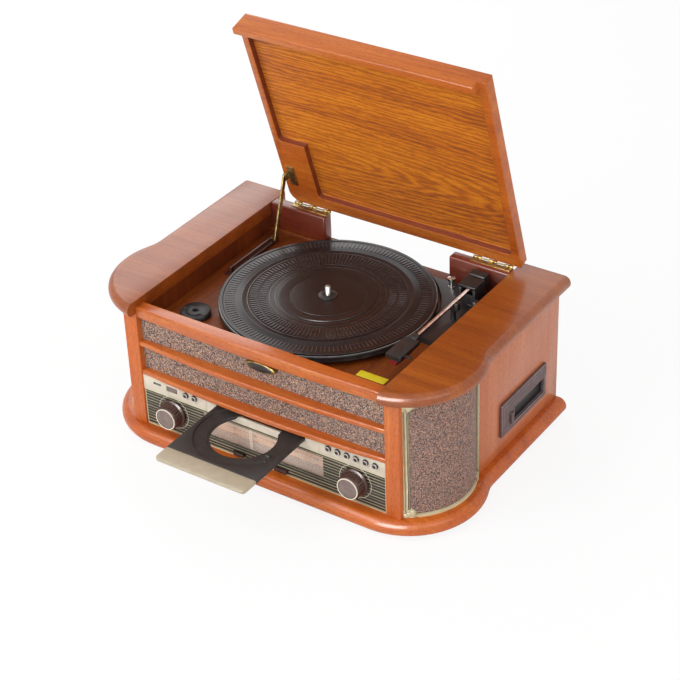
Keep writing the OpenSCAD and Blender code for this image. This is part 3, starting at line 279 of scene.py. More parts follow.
# lighter rubber for the mat's ribs and rings: painted highlights along their tops
ribHighlightRubber = mouldedPlastic("ribHighlightMatRubber", "#332928", "#4a3d3c", 0.26, grit=0.9)
footRubber = mouldedPlastic("footRubber", "#1b1a1a", "#232121", 0.8)
boardGreen = mouldedPlastic("circuitBoardGreen", "#24452b", "#2d5334", 0.45)
driveBlack = mouldedPlastic("driveBlackAbs", "#171516", "#201d1e", 0.6)


# Metals
def metal(name, colour, worn, roughness, spread=0.12):
    # plated or turned metal: even colour, slightly uneven polish
    material, tree, shader, coords = newMaterial(name, Metallic=1.0, Roughness=roughness)
    patches = softNoise(tree, coords, (6, 6, 6), 4.0)
    colourBy(tree, shader, ramp(tree, patches, [(0.35, worn), (0.65, colour)]))
    span = addNode(tree, "ShaderNodeMapRange", {
        "To Min": roughness - spread / 2, "To Max": roughness + spread / 2,
    }, {"Value": patches})
    tree.links.new(span.outputs["Result"], shader.inputs["Roughness"])
    return material


agedBrass = metal("agedBrass", "#b09a66", "#7d6a45", 0.36)
brightChrome = metal("brightChrome", "#d8d6d2", "#b9b6b1", 0.14, 0.06)
motorSteel = metal("zincPlatedSteel", "#a9a9a6", "#8c8c89", 0.4)
# pinkish tint on the tube's chrome: painted reflection of the wood round it
platedTube = metal("pinkReflectionChromeTube", "#d9c3b8", "#b89c90", 0.22, 0.08)
antiqueGold = metal("antiqueGold", "#a8905c", "#6b5735", 0.34)
champagnePaint = mouldedPlastic("champagnePaint", "#cfc49c", "#ddd3ae", 0.3)


# Tuner panel: olive lacquer with fine pale lines, printed along the front
stripePitch = 4.3  # millimetres


def stripedPanel():
    # silk-screened lines over a dark metallic lacquer
    material, tree, shader, coords = newMaterial("oliveStripedPanel", Roughness=0.34, Metallic=0.25)
    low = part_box("tuner_panel")[0].z / mm + 2
    raised = addNode(tree, "ShaderNodeMath", {"operation": "SUBTRACT", 1: low * mm},
                     {0: heightOf(tree, coords)})
    turns = addNode(tree, "ShaderNodeMath", {"operation": "DIVIDE", 1: stripePitch * mm},
                    {0: raised.outputs[0]})
    part = addNode(tree, "ShaderNodeMath", {"operation": "FRACT"}, {0: turns.outputs[0]})
    drift = softNoise(tree, coords, (30, 30, 2))
    lines = ramp(tree, part.outputs[0], [
        (0.0, "#c4bea6"), (0.15, "#b3ab92"), (0.2, "#26231d"), (0.6, "#37332b"), (0.97, "#4a463b")])
    wear = ramp(tree, drift, [(0.3, "#b0aa98"), (0.7, "#ffffff")])
    colourBy(tree, shader, multiplied(tree, 0.5, lines, wear))
    return material


# Dial: printed paper behind a tinted acrylic window
dialHeights = (42, 74)  # millimetres above the ground


def dialPaper():
    # warm printed card with bands for the two scales
    material, tree, shader, coords = newMaterial("dialPaper", Roughness=0.5)
    span = addNode(tree, "ShaderNodeMapRange", {
        "From Min": dialHeights[0] * mm, "From Max": dialHeights[1] * mm,
    }, {"Value": heightOf(tree, coords)})
    grain = softNoise(tree, coords, (40, 40, 1.5))
    bands = ramp(tree, span.outputs["Result"], [
        (0.0, "#9a8f8a"), (0.3, "#b3a196"), (0.34, "#6e4a3c"), (0.36, "#d9b08f"), (0.62, "#e4b793"),
        (0.64, "#8a5a48"), (0.66, "#e2c0a0"), (1.0, "#d8a685")])
    fibres = ramp(tree, grain, [(0.3, "#c8b6a8"), (0.7, "#ffffff")])
    colourBy(tree, shader, multiplied(tree, 0.4, bands, fibres))
    return material


def tintedAcrylic(name, colour, glow, alpha):
    # clear tinted sheet: most light passes, the surface keeps a sharp gloss
    material, tree, shader, coords = newMaterial(name, Roughness=0.06, Coat_Weight=1.0, Alpha=alpha)
    haze = softNoise(tree, coords, (60, 60, 12), 2.0)
    colourBy(tree, shader, ramp(tree, haze, [(0.3, colour), (0.7, glow)]))
    return material


panelStripes = stripedPanel()
dialCard = dialPaper()
dialGlass = tintedAcrylic("peachAcrylic", "#f2cbb0", "#fff4e8", 0.22)
displayGlass = tintedAcrylic("smokedBrownAcrylic", "#5d463e", "#8a7066", 0.97)
print("materials ready")


# CAD pieces that keep their shape and get soft edges
def softened(node, material, edge, extra=(), smooth=40, segments=2):
    source = frame["nodes"][node]
    piece = bpy.data.objects.new(node + "_piece", source.data.copy())
    bpy.context.scene.collection.objects.link(piece)
    only(piece)
    bpy.ops.object.mode_set(mode="EDIT")
    bpy.ops.mesh.select_all(action="SELECT")
    bpy.ops.mesh.remove_doubles(threshold=0.00001)
    bpy.ops.mesh.dissolve_limited(angle_limit=math.radians(0.8))
    bpy.ops.object.mode_set(mode="OBJECT")
    if edge:
        bevel = piece.modifiers.new("edge", "BEVEL")
        bevel.width = edge * mm
        bevel.segments = segments
        bevel.limit_method = "ANGLE"
        bevel.angle_limit = math.radians(50)
        bpy.ops.object.modifier_apply(modifier=bevel.name)
    finish(piece, piece.name, source["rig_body"], [material, *extra], smooth)
    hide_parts(node)
    return piece


def paint(piece, index, test):
    # gives the material at index to the faces whose centre passes the test
    for face in piece.data.polygons:
        if test(face.center):
            face.material_index = index


# node: material and the width of its soft edges in millimetres
softPieces = dict(
    base_board=(baseVeneer, 0), wing_left=(wingVeneer, 0.7), wing_right=(wingVeneer, 0.7),
    side_panel_left=(sideVeneer, 0.8), side_panel_right=(sideVeneer, 0.8),
    front_posts=(postWood, 0.9), top_rail=(railWood, 0.5), front_rails=(railWood, 0.4),
    back_rail=(deckStainAndShadeVeneer, 1.2), hinge_blocks=(blockWood, 1.8), deck_board=(deckStainAndShadeVeneer, 0.4),
    control_strip=(creamAbs, 0.25),
    usb_socket=(brightChrome, 0.1), cd_tray=(trayAbs, 0.35), tray_front=(trayFrontAbs, 0.7),
    band_slider=(brownAbs, 0.35), function_slider=(brownAbs, 0.35),
    tonearm_base=(blackAbs, 0.4), arm_yoke=(blackAbs, 0.4),
    adapter_45=(blackAbs, 0.4), hinge_leaves=(agedBrass, 0.15), lid_fittings=(agedBrass, 0.2),
    # the stay track's dark brown matches the shade at the foot of the well's wall: painted shade
    stay_bar=(agedBrass, 0.3), stay_track=(brownAbs, 0.3),
    cassette_flap=(blackAbs, 0.3), eject_button=(bezelAbs, 0.4))
for node, (material, edge) in softPieces.items():
    softened(node, material, edge)

# CAD pieces kept as they are, with a material each
keptNodes = dict(
    rubber_feet=footRubber, inner_walls=innerBoard, back_panel=driveBlack, front_cloth=frontCloth,
    corner_grilles=cornerCloth, speakers=driveBlack, tuner_panel=panelStripes, dial_scale=dialCard,
    cd_mechanism=driveBlack, platter_bearing=motorSteel, motor=motorSteel,
    motor_pulley=agedBrass, drive_belt=matRubber, cassette_mechanism=driveBlack,
    electronics=boardGreen, dial_pointer=ivoryPaint)
for node, material in keptNodes.items():
    source = frame["nodes"][node]
    source.data.materials.clear()
    source.data.materials.append(material)
    only(source)
    bpy.ops.object.shade_smooth_by_angle(angle=math.radians(35))

# Lid: edge veneer outside, figured panel in the hollow
lid = softened("lid", lidEdgeVeneer, 1.4, extra=[lidPanelVeneer, lidStepVeneer], segments=3)
pinY = 301  # the hinge pin, in millimetres
pinZ = 210


def lidPlace(point):
    # distance from the hinge along the lid, and above its hinge line when shut, in millimetres
    y = (point.y - frontY) / mm - pinY
    z = point.z / mm - pinZ
    tilt = math.radians(90 - lidOpen)
    along = -y * math.sin(tilt) + z * math.cos(tilt)
    above = y * math.cos(tilt) + z * math.sin(tilt)
    return along, above


# the hollow's walls and roof, measured from the lid's edges and from the hinge line when shut
hollow = dict(left=8.5, right=10.5, back=19, front=286, roof=9.5)
lidLow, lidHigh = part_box("lid")


def insideHollow(point):
    along = lidPlace(point)[0]
    return (lidLow.x + hollow["left"] * mm < point.x < lidHigh.x - hollow["right"] * mm
            and hollow["back"] < along < hollow["front"])


paint(lid, 2, lambda centre: (
    2 < lidPlace(centre)[1] < hollow["roof"] and insideHollow(centre)))
paint(lid, 1, lambda centre: (
    abs(lidPlace(centre)[1] - hollow["roof"]) < 0.3 and insideHollow(centre)))
print("softened pieces done")


# New pieces, modelled from primitives
def addDisc(radius, segments=48):
    bpy.ops.object.select_all(action="DESELECT")
    bpy.ops.mesh.primitive_circle_add(vertices=segments, radius=radius * mm, fill_type="NGON")
    return bpy.context.active_object


def turned(steps, segments=48):
    # steps of (radius, height) in millimetres, drawn up the axis from a flat disc
    piece = addDisc(steps[0][0], segments)
    bpy.ops.object.mode_set(mode="EDIT")
    bpy.ops.mesh.select_all(action="SELECT")
    lastRadius, lastHeight = steps[0]
    bpy.ops.transform.translate(value=(0, 0, lastHeight * mm))
    for radius, height in steps[1:]:
        bpy.ops.mesh.extrude_region_move(
            TRANSFORM_OT_translate={"value": (0, 0, (height - lastHeight) * mm)})
        size = radius / lastRadius
        bpy.ops.transform.resize(value=(size, size, size), center_override=(0, 0, height * mm))
        lastRadius, lastHeight = radius, height
    bpy.ops.mesh.select_all(action="SELECT")
    bpy.ops.mesh.normals_make_consistent(inside=False)
    bpy.ops.object.mode_set(mode="OBJECT")
    return piece


def put(piece, place, turn=(0, 0, 0)):
    piece.location = place
    piece.rotation_euler = tuple(math.radians(a) for a in turn)
    return piece


def slab(low, high, edge, segments=2):
    # a board given by two corners in millimetres, with rounded edges
    bpy.ops.object.select_all(action="DESELECT")
    bpy.ops.mesh.primitive_cube_add(size=1)
    piece = bpy.context.active_object
    a, b = spot(*low), spot(*high)
    piece.scale = b - a
    piece.location = (a + b) / 2
    bpy.ops.object.transform_apply(location=True, rotation=True, scale=True)
    bpy.ops.object.mode_set(mode="EDIT")
    bpy.ops.mesh.select_all(action="SELECT")
    bpy.ops.mesh.bevel(offset=edge * mm, segments=segments, affect="EDGES")
    bpy.ops.object.mode_set(mode="OBJECT")
    return piece


def joined(pieces):
    only(pieces[0])
    for piece in pieces:
        piece.select_set(True)
    bpy.ops.object.join()
    return bpy.context.active_object


def raisedBorder(piece, width, height):
    # turns a flat face into a raised border by inset and extrude
    bpy.ops.object.mode_set(mode="EDIT")
    bpy.ops.mesh.select_all(action="SELECT")
    bpy.ops.mesh.inset(thickness=width * mm, depth=0)
    bpy.ops.mesh.delete(type="FACE")
    bpy.ops.mesh.select_all(action="SELECT")
    bpy.ops.mesh.extrude_region_move(TRANSFORM_OT_translate={"value": (0, 0, height * mm)})
    bpy.ops.mesh.select_all(action="SELECT")
    bpy.ops.mesh.normals_make_consistent(inside=False)
    bpy.ops.object.mode_set(mode="OBJECT")
    return piece


def ringLine(radius, width, height, segments=64):
    return raisedBorder(addDisc(radius + width / 2, segments), width, height)


def frameRing(width, height, line, depth):
    bpy.ops.object.select_all(action="DESELECT")
    bpy.ops.mesh.primitive_plane_add(size=1)
    ring = bpy.context.active_object
    ring.scale = (width * mm, height * mm, 1)
    bpy.ops.object.transform_apply(location=True, rotation=True, scale=True)
    return raisedBorder(ring, line, depth)


faceForward = (90, 0, 0)

# Knobs: ribbed skirted body with a pale ring and a taupe cap
knobSizes = dict(
    x=136, z=56.5, faceY=-14.25, ringRadius=13.9, ringWidth=1.2, ringHeight=0.9,
    lineRadius=22.6, lineWidth=0.5, lineHeight=0.2, lineY=3,
    cap=[(13.2, -0.4), (13.2, 0.1), (12.6, 0.5), (8, 0.62), (0.5, 0.64)])


def knob(node, side, body):
    sizes = knobSizes
    softened(node, brownAbs, 0.15, smooth=30)
    centre = spot(side * sizes["x"], sizes["faceY"], sizes["z"])
    cap = put(turned(sizes["cap"]), centre, faceForward)
    finish(cap, node + "_cap", body, [taupeAbs])
    ring = put(ringLine(sizes["ringRadius"], sizes["ringWidth"], sizes["ringHeight"]),
               centre, faceForward)
    finish(ring, node + "_ring", body, [ivoryPaint])
    line = put(ringLine(sizes["lineRadius"], sizes["lineWidth"], sizes["lineHeight"]),
               spot(side * sizes["x"], sizes["lineY"], sizes["z"]), faceForward)
    finish(line, node + "_panel_ring", "cabinet", [ivoryPaint])


knob("volume_knob", -1, "volume")
knob("tuning_knob", 1, "tuning")

# Buttons: dark caps, each with a pale ring round a dark centre, a painted highlight ring of the domed cap
buttonLook = dict(
    ringRadius=3.1, ringWidth=0.9, ringHeight=0.28, faceY=-0.8, z=91.5,
    dome=[(2.5, -0.2), (2.4, 0.2), (1.7, 0.45), (0.6, 0.55)])
buttonXs = [-113, -99.8] + [99.5 + 13.2 * i for i in range(6)]
for i, x in enumerate(buttonXs):
    look = buttonLook
    name = "button_%d" % (i + 1)
    body = "key_%d" % (i + 1)
    softened(name, capAbs, 0.2)
    centre = spot(x, look["faceY"], look["z"])
    dome = put(turned(look["dome"], 24), centre, faceForward)
    finish(dome, name + "_dome", body, [capAbs])
    ring = put(ringLine(look["ringRadius"], look["ringWidth"], look["ringHeight"], 32),
               centre, faceForward)
    finish(ring, name + "_ring", body, [buttonHighlightRing])

# Windows over the dial and the small display
windowSizes = dict(
    glass=((-90, 4, dialHeights[0]), (90, 5.6, dialHeights[1])),
    display=((-143.2, 2.3, 87.4), (-127.8, 5, 94.6)),
    surround=((-144, 2.6, 86.8), (-127, 5, 95.2)))
glass = slab(*windowSizes["glass"], 0.3)
finish(glass, "dial_glass", "cabinet", [dialGlass])
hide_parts("windows")
display = slab(*windowSizes["display"], 1.1, 3)
finish(display, "display_window", "cabinet", [displayGlass])
surround = slab(*windowSizes["surround"], 1.2, 3)
finish(surround, "display_surround", "cabinet", [capAbs])

# Printed scale behind the glass: two rows of ticks and plain numbers
dialPrint = dict(
    y=8.9, left=-82, right=82, rows=(70.0, 49.5), numberRows=(60.2, 51.6), parts=40,
    tick=3.0, thick=0.35, ink=0.08, rule=0.4, numberSize=5.2)


def printed(left, right, low, high):
    # a raised line of ink on the dial
    y = dialPrint["y"]
    return slab((left, y, low), (right, y + dialPrint["ink"], high), 0.03, 1)


def tickRow(z, name, colour):
    look = dialPrint
    step = (look["right"] - look["left"]) / look["parts"]
    ticks = []
    for i in range(look["parts"] + 1):
        x = look["left"] + i * step
        length = look["tick"] * (1.6 if i % 5 == 0 else 1.0)
        ticks.append(printed(x - look["thick"] / 2, x + look["thick"] / 2, z - length, z))
    rule = printed(look["left"] - 3, look["right"] + 3, z, z + look["rule"])
    finish(joined([rule] + ticks), name, "cabinet", [colour])


def numberRow(z, numbers, name, colour):
    look = dialPrint
    margin = 6  # from the scale's ends to the outer numbers' middles
    made = []
    step = (look["right"] - look["left"] - 2 * margin) / (len(numbers) - 1)
    for i, number in enumerate(numbers):
        bpy.ops.object.select_all(action="DESELECT")
        bpy.ops.object.text_add()
        text = bpy.context.active_object
        text.data.body = number
        text.data.size = look["numberSize"] * mm
        text.data.align_x = "CENTER"
        text.data.extrude = look["ink"] / 2 * mm
        bpy.ops.object.convert(target="MESH")
        place = spot(look["left"] + margin + i * step, look["y"], z)
        made.append(put(bpy.context.active_object, place, faceForward))
    finish(joined(made), name, "cabinet", [colour], 1)


tickRow(dialPrint["rows"][0], "dial_ticks_upper", brownAbs)
tickRow(dialPrint["rows"][1], "dial_ticks_lower", brownAbs)
numberRow(dialPrint["numberRows"][0], ["88", "92", "96", "100", "104", "108"],
          "dial_numbers_upper", brownAbs)
numberRow(dialPrint["numberRows"][1], ["530", "600", "800", "1000", "1300", "1600"],
          "dial_numbers_lower", redAbs)

# Pointer: a pale double line in front of the needle
pointerLook = dict(gap=1.7, halfWidth=0.5, halfDepth=0.15, low=44, high=72)
needleLow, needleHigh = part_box("dial_pointer")
needleX = (needleLow.x + needleHigh.x) / 2 / mm
needleY = (needleLow.y - frontY) / mm


def pointerLine(side):
    look = pointerLook
    x = needleX + side * look["gap"]
    return slab((x - look["halfWidth"], needleY - look["halfDepth"], look["low"]),
                (x + look["halfWidth"], needleY + look["halfDepth"], look["high"]), 0.05, 1)


doubleLine = joined([pointerLine(-1), pointerLine(1)])
finish(doubleLine, "pointer_lines", "pointer", [ivoryPaint])

# Raised frame lines: pale round the tuner panel; on the cassette bezel, lighter grey lines on the moulded
# steps are painted highlights
panelLow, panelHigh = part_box("tuner_panel")
panelRing = frameRing(
    (panelHigh.x - panelLow.x) / mm - 1, (panelHigh.z - panelLow.z) / mm - 0.6, 1.2, 0.5)
put(panelRing, Vector((0, panelLow.y, (panelLow.z + panelHigh.z) / 2)), faceForward)
finish(panelRing, "panel_frame_line", "cabinet", [champagnePaint])
bezelLow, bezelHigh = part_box("cassette_bezel")
bezelY = ((bezelLow.y + bezelHigh.y) / 2 - frontY) / mm
bezelZ = (bezelLow.z + bezelHigh.z) / 2 / mm
bezelLines = dict(
    bezel_line_outer=(110, 45.5, bezelY, bezelZ),
    bezel_line_middle=(101, 36.5, bezelY, bezelZ),
    bezel_line_mouth=(80, 24, 243, 68.5))
for name, (width, height, y, z) in bezelLines.items():
    line = put(frameRing(width, height, 0.8, 0.5), spot(bezelHigh.x / mm, y, z), (90, 0, 90))
    finish(line, name, "cabinet", [stepHighlightAbs])
print("front controls done")

# Oval plate held in front of the upper cloth, bare
plate = dict(x=4.8, z=173.6, halfWidth=22, halfHeight=6.4, front=1.6, field=0.82)
clothFace = (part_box("front_cloth")[0].y - frontY) / mm
plateDepth = clothFace - plate["front"]
for name, size, depth, material in (
        ("oval_rim", 1.0, plateDepth, antiqueGold),
        ("oval_field", plate["field"], plateDepth + 0.5, capAbs)):
    wide = plate["halfWidth"] * size
    oval = turned([(wide, 0), (wide, depth - 1.2), (wide * 0.98, depth - 0.5), (wide * 0.9, depth),
                   (wide * 0.4, depth + 0.25)], 64)
    oval.scale = (1, plate["halfHeight"] / plate["halfWidth"], 1)
    put(oval, spot(plate["x"], clothFace, plate["z"]), faceForward)
    finish(oval, name, "cabinet", [material])

# Bare yellow strip on the deck, right of the platter
stripSizes = dict(left=105, right=144, front=56, back=68, thick=0.35)
strip = slab((stripSizes["left"], stripSizes["front"], deckZ),
             (stripSizes["right"], stripSizes["back"], deckZ + stripSizes["thick"]), 0.1)
finish(strip, "yellow_strip", "cabinet", [yellowVinyl])

# Transit screw behind the platter
screwSizes = dict(x=107, y=272, rise=8, profile=[
    (3.6, 0), (3.6, 1), (2.9, 1.2), (2.9, 9), (4.8, 9.6), (5.4, 11), (4.9, 13), (3, 14), (0.6, 14.3)])
screw = put(turned(screwSizes["profile"], 32),
            spot(screwSizes["x"], screwSizes["y"], deckZ + screwSizes["rise"]))
finish(screw, "transit_screw", "cabinet", [brightChrome])

# Platter: softened rim, steel spindle, rubber mat with moulded rings and ribs; the ribs and rings are a
# lighter rubber that paints their highlights
platterSizes = dict(x=-8, y=166, spindle=4, ribBase=183.2)


def platterSpot(z):
    return spot(platterSizes["x"], platterSizes["y"], z)


platter = softened("platter", blackAbs, 0.3, extra=[motorSteel], smooth=35)
paint(platter, 1, lambda centre: (
    (centre - platterSpot(centre.z / mm)).length < platterSizes["spindle"] * mm))
matProfile = [
    (135, 181.5), (135, 183.6), (134.6, 184), (131.2, 184), (130.3, 183.2), (108, 183.2), (107.6, 183.5),
    (106.4, 183.5), (106, 183.2), (61.5, 183.2), (61, 184), (59.4, 184), (48.5, 182.3), (47.6, 182.3),
    (47, 182.9), (45.8, 182.9), (3.6, 182.9)]
mat = put(turned(matProfile, 160), platterSpot(0))
finish(mat, "mat_body", "turntable", [matRubber])
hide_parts("platter_mat")


def ribRing(count, radius, length, width, height, base):
    # one moulded rib, copied round the spindle
    bpy.ops.object.select_all(action="DESELECT")
    bpy.ops.mesh.primitive_cube_add(size=1)
    rib = bpy.context.active_object
    rib.scale = (length * mm, width * mm, height * mm)
    rib.location = (radius * mm, 0, (base + height / 2) * mm)
    bpy.ops.object.transform_apply(location=True, rotation=True, scale=True)
    bpy.ops.object.mode_set(mode="EDIT")
    bpy.ops.mesh.select_all(action="SELECT")
    bpy.ops.mesh.spin(steps=count - 1, dupli=True, angle=math.radians(360 * (count - 1) / count),
                      center=(0, 0, 0), axis=(0, 0, 1))
    bpy.ops.object.mode_set(mode="OBJECT")
    return rib


matTop = platterSizes["ribBase"]
# count, radius, length and width of each row of ribs, and the radii of the rings between them
ribRows = ((150, 122.5, 12, 1.3), (120, 93, 9, 1.2), (120, 81, 9, 1.1))
ringRadii = (100.5, 73, 66)
ribs = [ribRing(*row, 0.6, matTop) for row in ribRows]
rings = [ringLine(radius, 0.8, 0.4, 160) for radius in ringRadii]
for ring in rings:
    put(ring, Vector((0, 0, matTop * mm)))
matRelief = joined(ribs + rings)
put(matRelief, platterSpot(0))
finish(matRelief, "mat_relief", "turntable", [ribHighlightRubber])
hubProfile = [(12, -0.4), (12, 0.5), (10.5, 1.4), (5, 1.6), (4.6, 0.4)]
hub = put(turned(hubProfile, 48), platterSpot(matTop))
finish(hub, "spindle_hub", "turntable", [blackAbs])

# Arm: plated tube thinner than the CAD's, black shell drawn forward, red stylus guard
armSizes = dict(
    x=147, y=260, z=197, tubeRadius=2.5, cadRadius=3.5, tubeFrom=5.5, tubeMiddle=100, forward=9,
    weightFrom=7.5, shellFrom=134.5, shellHalfWidth=10.5, cadShellHalfWidth=9)
armPivot = spot(armSizes["x"], armSizes["y"], armSizes["z"])


def editVertices(piece, test, change):
    # runs the change in edit mode on the vertices whose place passes the test
    for part in (*piece.data.polygons, *piece.data.edges, *piece.data.vertices):
        part.select = False
    for vertex in piece.data.vertices:
        vertex.select = test(vertex.co)
    only(piece)
    bpy.ops.object.mode_set(mode="EDIT")
    bpy.ops.mesh.select_mode(type="VERT")
    change()
    bpy.ops.object.mode_set(mode="OBJECT")


def moveForward(piece, test):
    editVertices(piece, test, lambda: bpy.ops.transform.translate(
        value=(0, -armSizes["forward"] * mm, 0)))


def widened(piece, test, value):
    editVertices(piece, test, lambda: bpy.ops.transform.resize(value=value, center_override=armPivot))


def reshapeArm():
    sizes = armSizes

    def offAxis(point):
        return math.hypot(point.x - armPivot.x, point.z - armPivot.z) / mm

    def ahead(point):
        # millimetres in front of the pivot
        return (armPivot.y - point.y) / mm

    tube = softened("tonearm", blackAbs, 0, extra=[platedTube])
    thinner = sizes["tubeRadius"] / sizes["cadRadius"]
    widened(tube, lambda v: offAxis(v) < sizes["cadRadius"] + 0.2 and ahead(v) > sizes["tubeFrom"],
            (thinner, 1, thinner))
    moveForward(tube, lambda v: ahead(v) > sizes["tubeMiddle"])
    editVertices(tube, lambda v: -ahead(v) > sizes["weightFrom"],
                 lambda: bpy.ops.mesh.delete(type="VERT"))
    paint(tube, 1, lambda centre: (
        offAxis(centre) < sizes["tubeRadius"] + 0.1 and ahead(centre) > sizes["tubeFrom"] + 1))
    shell = softened("headshell", blackAbs, 0.3)
    widened(shell, lambda v: ahead(v) > sizes["shellFrom"],
            (sizes["shellHalfWidth"] / sizes["cadShellHalfWidth"], 1, 1))
    moveForward(shell, lambda v: True)


reshapeArm()

guardSizes = dict(halfWidth=5, past=0.6, length=13, low=186.6, high=190.2)


def stylusGuard():
    sizes = guardSizes
    x = armSizes["x"]
    front = (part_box("headshell")[0].y - frontY) / mm - armSizes["forward"]
    guard = slab((x - sizes["halfWidth"], front - sizes["past"], sizes["low"]),
                 (x + sizes["halfWidth"], front + sizes["length"], sizes["high"]), 0.7)
    finish(guard, "stylus_guard", "arm", [redAbs])


stylusGuard()

# Pivot housing: two cheeks and a low front wall turn, the cap and the weight lift with the tube;
# all of it is measured from the arm's pivot
housingSizes = dict(
    cheekIn=8.1, cheekOut=12, front=-19, back=5, low=-16.7, high=4, wall=3, wallHigh=-4,
    cap=(5, 8), weight=((-13, 7, -10), (10, 20.5, 9.5)))


def pivotSlab(low, high, edge, segments=2):
    pivot = (armSizes["x"], armSizes["y"], armSizes["z"])
    return slab([p + v for p, v in zip(pivot, low)], [p + v for p, v in zip(pivot, high)], edge, segments)


def pivotHousing():
    sizes = housingSizes
    near, far, front, back = sizes["cheekIn"], sizes["cheekOut"], sizes["front"], sizes["back"]
    low, high = sizes["low"], sizes["high"]
    housing = joined([
        pivotSlab((-far, front, low), (-near, back, high), 0.5),
        pivotSlab((near, front, low), (far, back, high), 0.5),
        pivotSlab((-near - 1, front, low), (near + 1, front + sizes["wall"], sizes["wallHigh"]), 0.5)])
    finish(housing, "pivot_housing", "arm_turret", [blackAbs])
    capLow, capHigh = sizes["cap"]
    cap = pivotSlab((-far, front, capLow), (far, back, capHigh), 0.8, 3)
    finish(cap, "pivot_cap", "arm", [blackAbs])
    weight = pivotSlab(*sizes["weight"], 2, 3)
    finish(weight, "counterweight", "arm", [blackAbs])


pivotHousing()

# Plinth whose inner edge follows the platter, with the cueing knob on it
plinthSizes = dict(left=62, right=178, front=155, back=282, top=175, arc=141)
cueSizes = dict(
    x=164, y=233, rise=12, knob=[(4.6, 0), (4.6, 5.5), (4.1, 6.2), (2, 6.5)],
    stem=[(1.6, 0), (1.6, 8), (1.9, 12.2)])


def armPlinth():
    sizes = plinthSizes
    plinth = slab((sizes["left"], sizes["front"], deckZ), (sizes["right"], sizes["back"], sizes["top"]),
                  0.01, 1)
    cutter = turned([(sizes["arc"], deckZ - 5), (sizes["arc"], sizes["top"] + 5)], 160)
    put(cutter, platterSpot(0))
    only(plinth)
    cut = plinth.modifiers.new("arc", "BOOLEAN")
    cut.object = cutter
    bpy.ops.object.modifier_apply(modifier=cut.name)
    bpy.data.objects.remove(cutter)
    only(plinth)
    edge = plinth.modifiers.new("edge", "BEVEL")
    edge.width = 0.8 * mm
    edge.segments = 2
    edge.limit_method = "ANGLE"
    bpy.ops.object.modifier_apply(modifier=edge.name)
    finish(plinth, "arm_plinth", "cabinet", [blackAbs])
    cueX, cueY = cueSizes["x"], cueSizes["y"]
    knob = put(turned(cueSizes["knob"], 32), spot(cueX, cueY, sizes["top"] + cueSizes["rise"]))
    finish(knob, "cue_knob", "cabinet", [blackAbs])
    stem = put(turned(cueSizes["stem"], 24), spot(cueX, cueY, sizes["top"]))
    finish(stem, "cue_stem", "cabinet", [blackAbs])


armPlinth()

# Corner frames: the border is narrowed outside its four corner plates
trimSizes = dict(width=6, narrower=2.2, slope=0.38)


def narrowTrims():
    trims = softened("corner_trims", champagnePaint, 0)
    low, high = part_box("corner_trims")
    width, step = trimSizes["width"] * mm, trimSizes["narrower"] * mm
    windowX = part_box("front_posts")[1].x + width
    near = 0.05 * mm
    nearCurve = 0.3 * mm

    def shift(test, value):
        editVertices(trims, test, lambda: bpy.ops.transform.translate(value=value))

    shift(lambda v: abs(v.z - low.z - width) < near, (0, 0, -step))
    shift(lambda v: abs(v.z - high.z + width) < near, (0, 0, step))
    for side in (-1, 1):
        shift(lambda v: abs(v.x * side - windowX) < near, (-side * step, -step * trimSizes["slope"], 0))
    shift(lambda v: abs(v.y - high.y + width) < nearCurve, (0, step, 0))


narrowTrims()

# Corner plates: an oval boss in each, standing square on the corner's arc
bossSizes = dict(
    x=206.5, low=31, high=184.5, arcX=163, arcY=81, arcRadius=82.9, stretch=(1.25, 0.7, 1),
    profile=[(3.4, -0.3), (3.2, 0.5), (2.2, 0.9), (0.4, 1.0)])


def cornerBoss(sideName, side, rowName):
    sizes = bossSizes
    dx = sizes["x"] - sizes["arcX"]
    dy = math.sqrt(sizes["arcRadius"] ** 2 - dx ** 2)
    boss = turned(sizes["profile"], 32)
    boss.scale = sizes["stretch"]
    put(boss, spot(side * sizes["x"], sizes["arcY"] - dy, sizes[rowName]),
        (90, 0, side * math.degrees(math.atan2(dx, dy))))
    finish(boss, "boss_" + sideName + "_" + rowName, "cabinet", [champagnePaint])


for sideName, side in (("left", -1), ("right", 1)):
    for rowName in ("low", "high"):
        cornerBoss(sideName, side, rowName)

softened("cassette_bezel", bezelAbs, 0.4)
print("player and trim done")


# Room: pale floor, soft lamps and the photograph's view
floorWhite = 0.87  # share of plain white that the camera sees over the lit paper


def whiteFloor():
    # matt white paper sweep: the camera sees it as plain white with a faint shadow
    material, tree, shader = newMaterial("whiteFloor", Roughness=0.9)[:3]
    shader.inputs["Base Color"].default_value = shade("#fafafa")
    seen = addNode(tree, "ShaderNodeLightPath").outputs["Is Camera Ray"]
    share = addNode(tree, "ShaderNodeMath", {"operation": "MULTIPLY", 1: floorWhite}, {0: seen})
    plain = addNode(tree, "ShaderNodeEmission", {"Color": shade("#ffffff"), "Strength": 1.0})
    mixed = addNode(tree, "ShaderNodeMixShader", {}, {
        0: share.outputs[0], 1: shader.outputs[0], 2: plain.outputs[0]})
    tree.links.new(mixed.outputs[0], tree.nodes["Material Output"].inputs["Surface"])
    return material


bpy.ops.object.select_all(action="DESELECT")
bpy.ops.mesh.primitive_plane_add(size=14)
floor = bpy.context.active_object
floor.name = "floor"
floor.data.materials.append(whiteFloor())

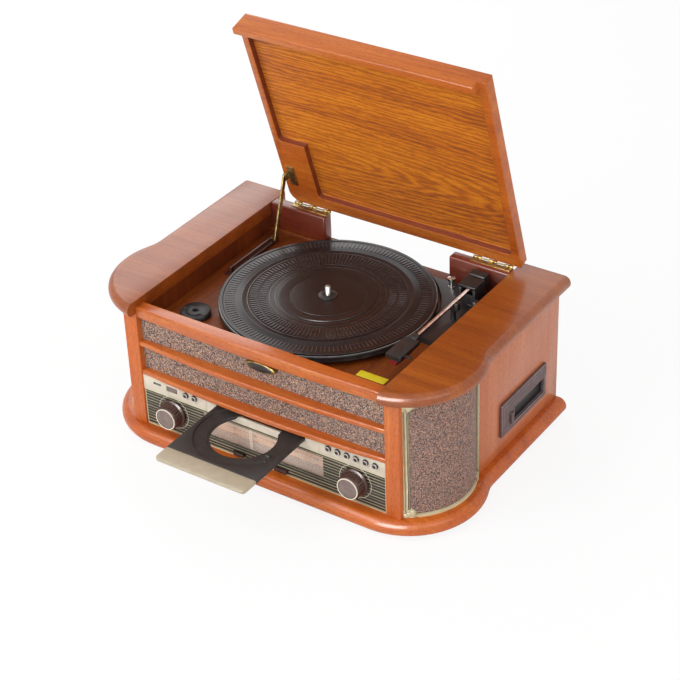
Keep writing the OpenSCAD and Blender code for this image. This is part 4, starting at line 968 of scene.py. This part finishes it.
world = bpy.data.worlds.new("studio")
bpy.context.scene.world = world
world.use_nodes = True
worldTree = world.node_tree
skyLevel = 0.62  # what lights the object; the camera, gloss and glass see plain white
seen = addNode(worldTree, "ShaderNodeLightPath").outputs
direct = addNode(worldTree, "ShaderNodeMath", {"operation": "MAXIMUM"}, {
    0: seen["Is Camera Ray"], 1: seen["Is Glossy Ray"]})
whole = addNode(worldTree, "ShaderNodeMath", {"operation": "MAXIMUM"}, {
    0: direct.outputs[0], 1: seen["Is Transmission Ray"]})
level = addNode(worldTree, "ShaderNodeMapRange", {"To Min": skyLevel, "To Max": 1.0},
                {"Value": whole.outputs[0]})
worldTree.links.new(level.outputs["Result"], worldTree.nodes["Background"].inputs["Strength"])
worldTree.nodes["Background"].inputs["Color"].default_value = (1, 1, 1, 1)


def softLamp(name, place, target, size, power):
    lamp = bpy.data.lights.new(name, "AREA")
    lamp.shape = "SQUARE"
    lamp.size = size
    lamp.energy = power
    holder = bpy.data.objects.new(name, lamp)
    bpy.context.scene.collection.objects.link(holder)
    holder.location = place
    holder.rotation_euler = (Vector(target) - Vector(place)).to_track_quat("-Z", "Y").to_euler()
    return holder


softLamp("keyLamp", (-0.9, -1.5, 1.7), (0, 0, 0.1), 1.3, 26)
softLamp("fillLamp", (1.8, -0.6, 1.2), (0, 0, 0.1), 1.2, 9)
# a front panel that only gloss sees, mirrored as the bright spots on the rounded noses
softLamp("frontPanel", (0.35, -1.9, 0.9), (0.1, 0, 0.1), 1.3, 110).visible_diffuse = False
# a panel behind on the left, which the wing tops and the platter mirror
softLamp("backPanel", (-1.25, 1.25, 1.05), (-0.1, 0, 0.15), 1.1, 7)

view = dict(azimuth=35.011, elevation=33.260, roll=-2.279, distance=2474,
            target=(-8.87, 189.47, 102.72), focal=1943.51, frameSize=680)
turnA = math.radians(view["azimuth"])
turnE = math.radians(view["elevation"])
back = Vector((math.sin(turnA) * math.cos(turnE), -math.cos(turnA) * math.cos(turnE), math.sin(turnE)))
right = Vector((0, 0, 1)).cross(back).normalized()
up = back.cross(right)
rollAngle = math.radians(view["roll"])
rolledRight = right * math.cos(rollAngle) + up * math.sin(rollAngle)
rolledUp = -right * math.sin(rollAngle) + up * math.cos(rollAngle)
cameraData = bpy.data.cameras.new("photoView")
cameraData.sensor_fit = "HORIZONTAL"
cameraData.sensor_width = 36
cameraData.lens = 36 * view["focal"] / view["frameSize"]
cameraData.clip_end = 50
camera = bpy.data.objects.new("photoView", cameraData)
bpy.context.scene.collection.objects.link(camera)
place = spot(*view["target"]) + back * view["distance"] * mm
camera.matrix_world = Matrix((
    (rolledRight.x, rolledUp.x, back.x, place.x),
    (rolledRight.y, rolledUp.y, back.y, place.y),
    (rolledRight.z, rolledUp.z, back.z, place.z),
    (0, 0, 0, 1),
))
bpy.context.scene.camera = camera
bpy.context.scene.view_settings.view_transform = "Standard"
print("room done")
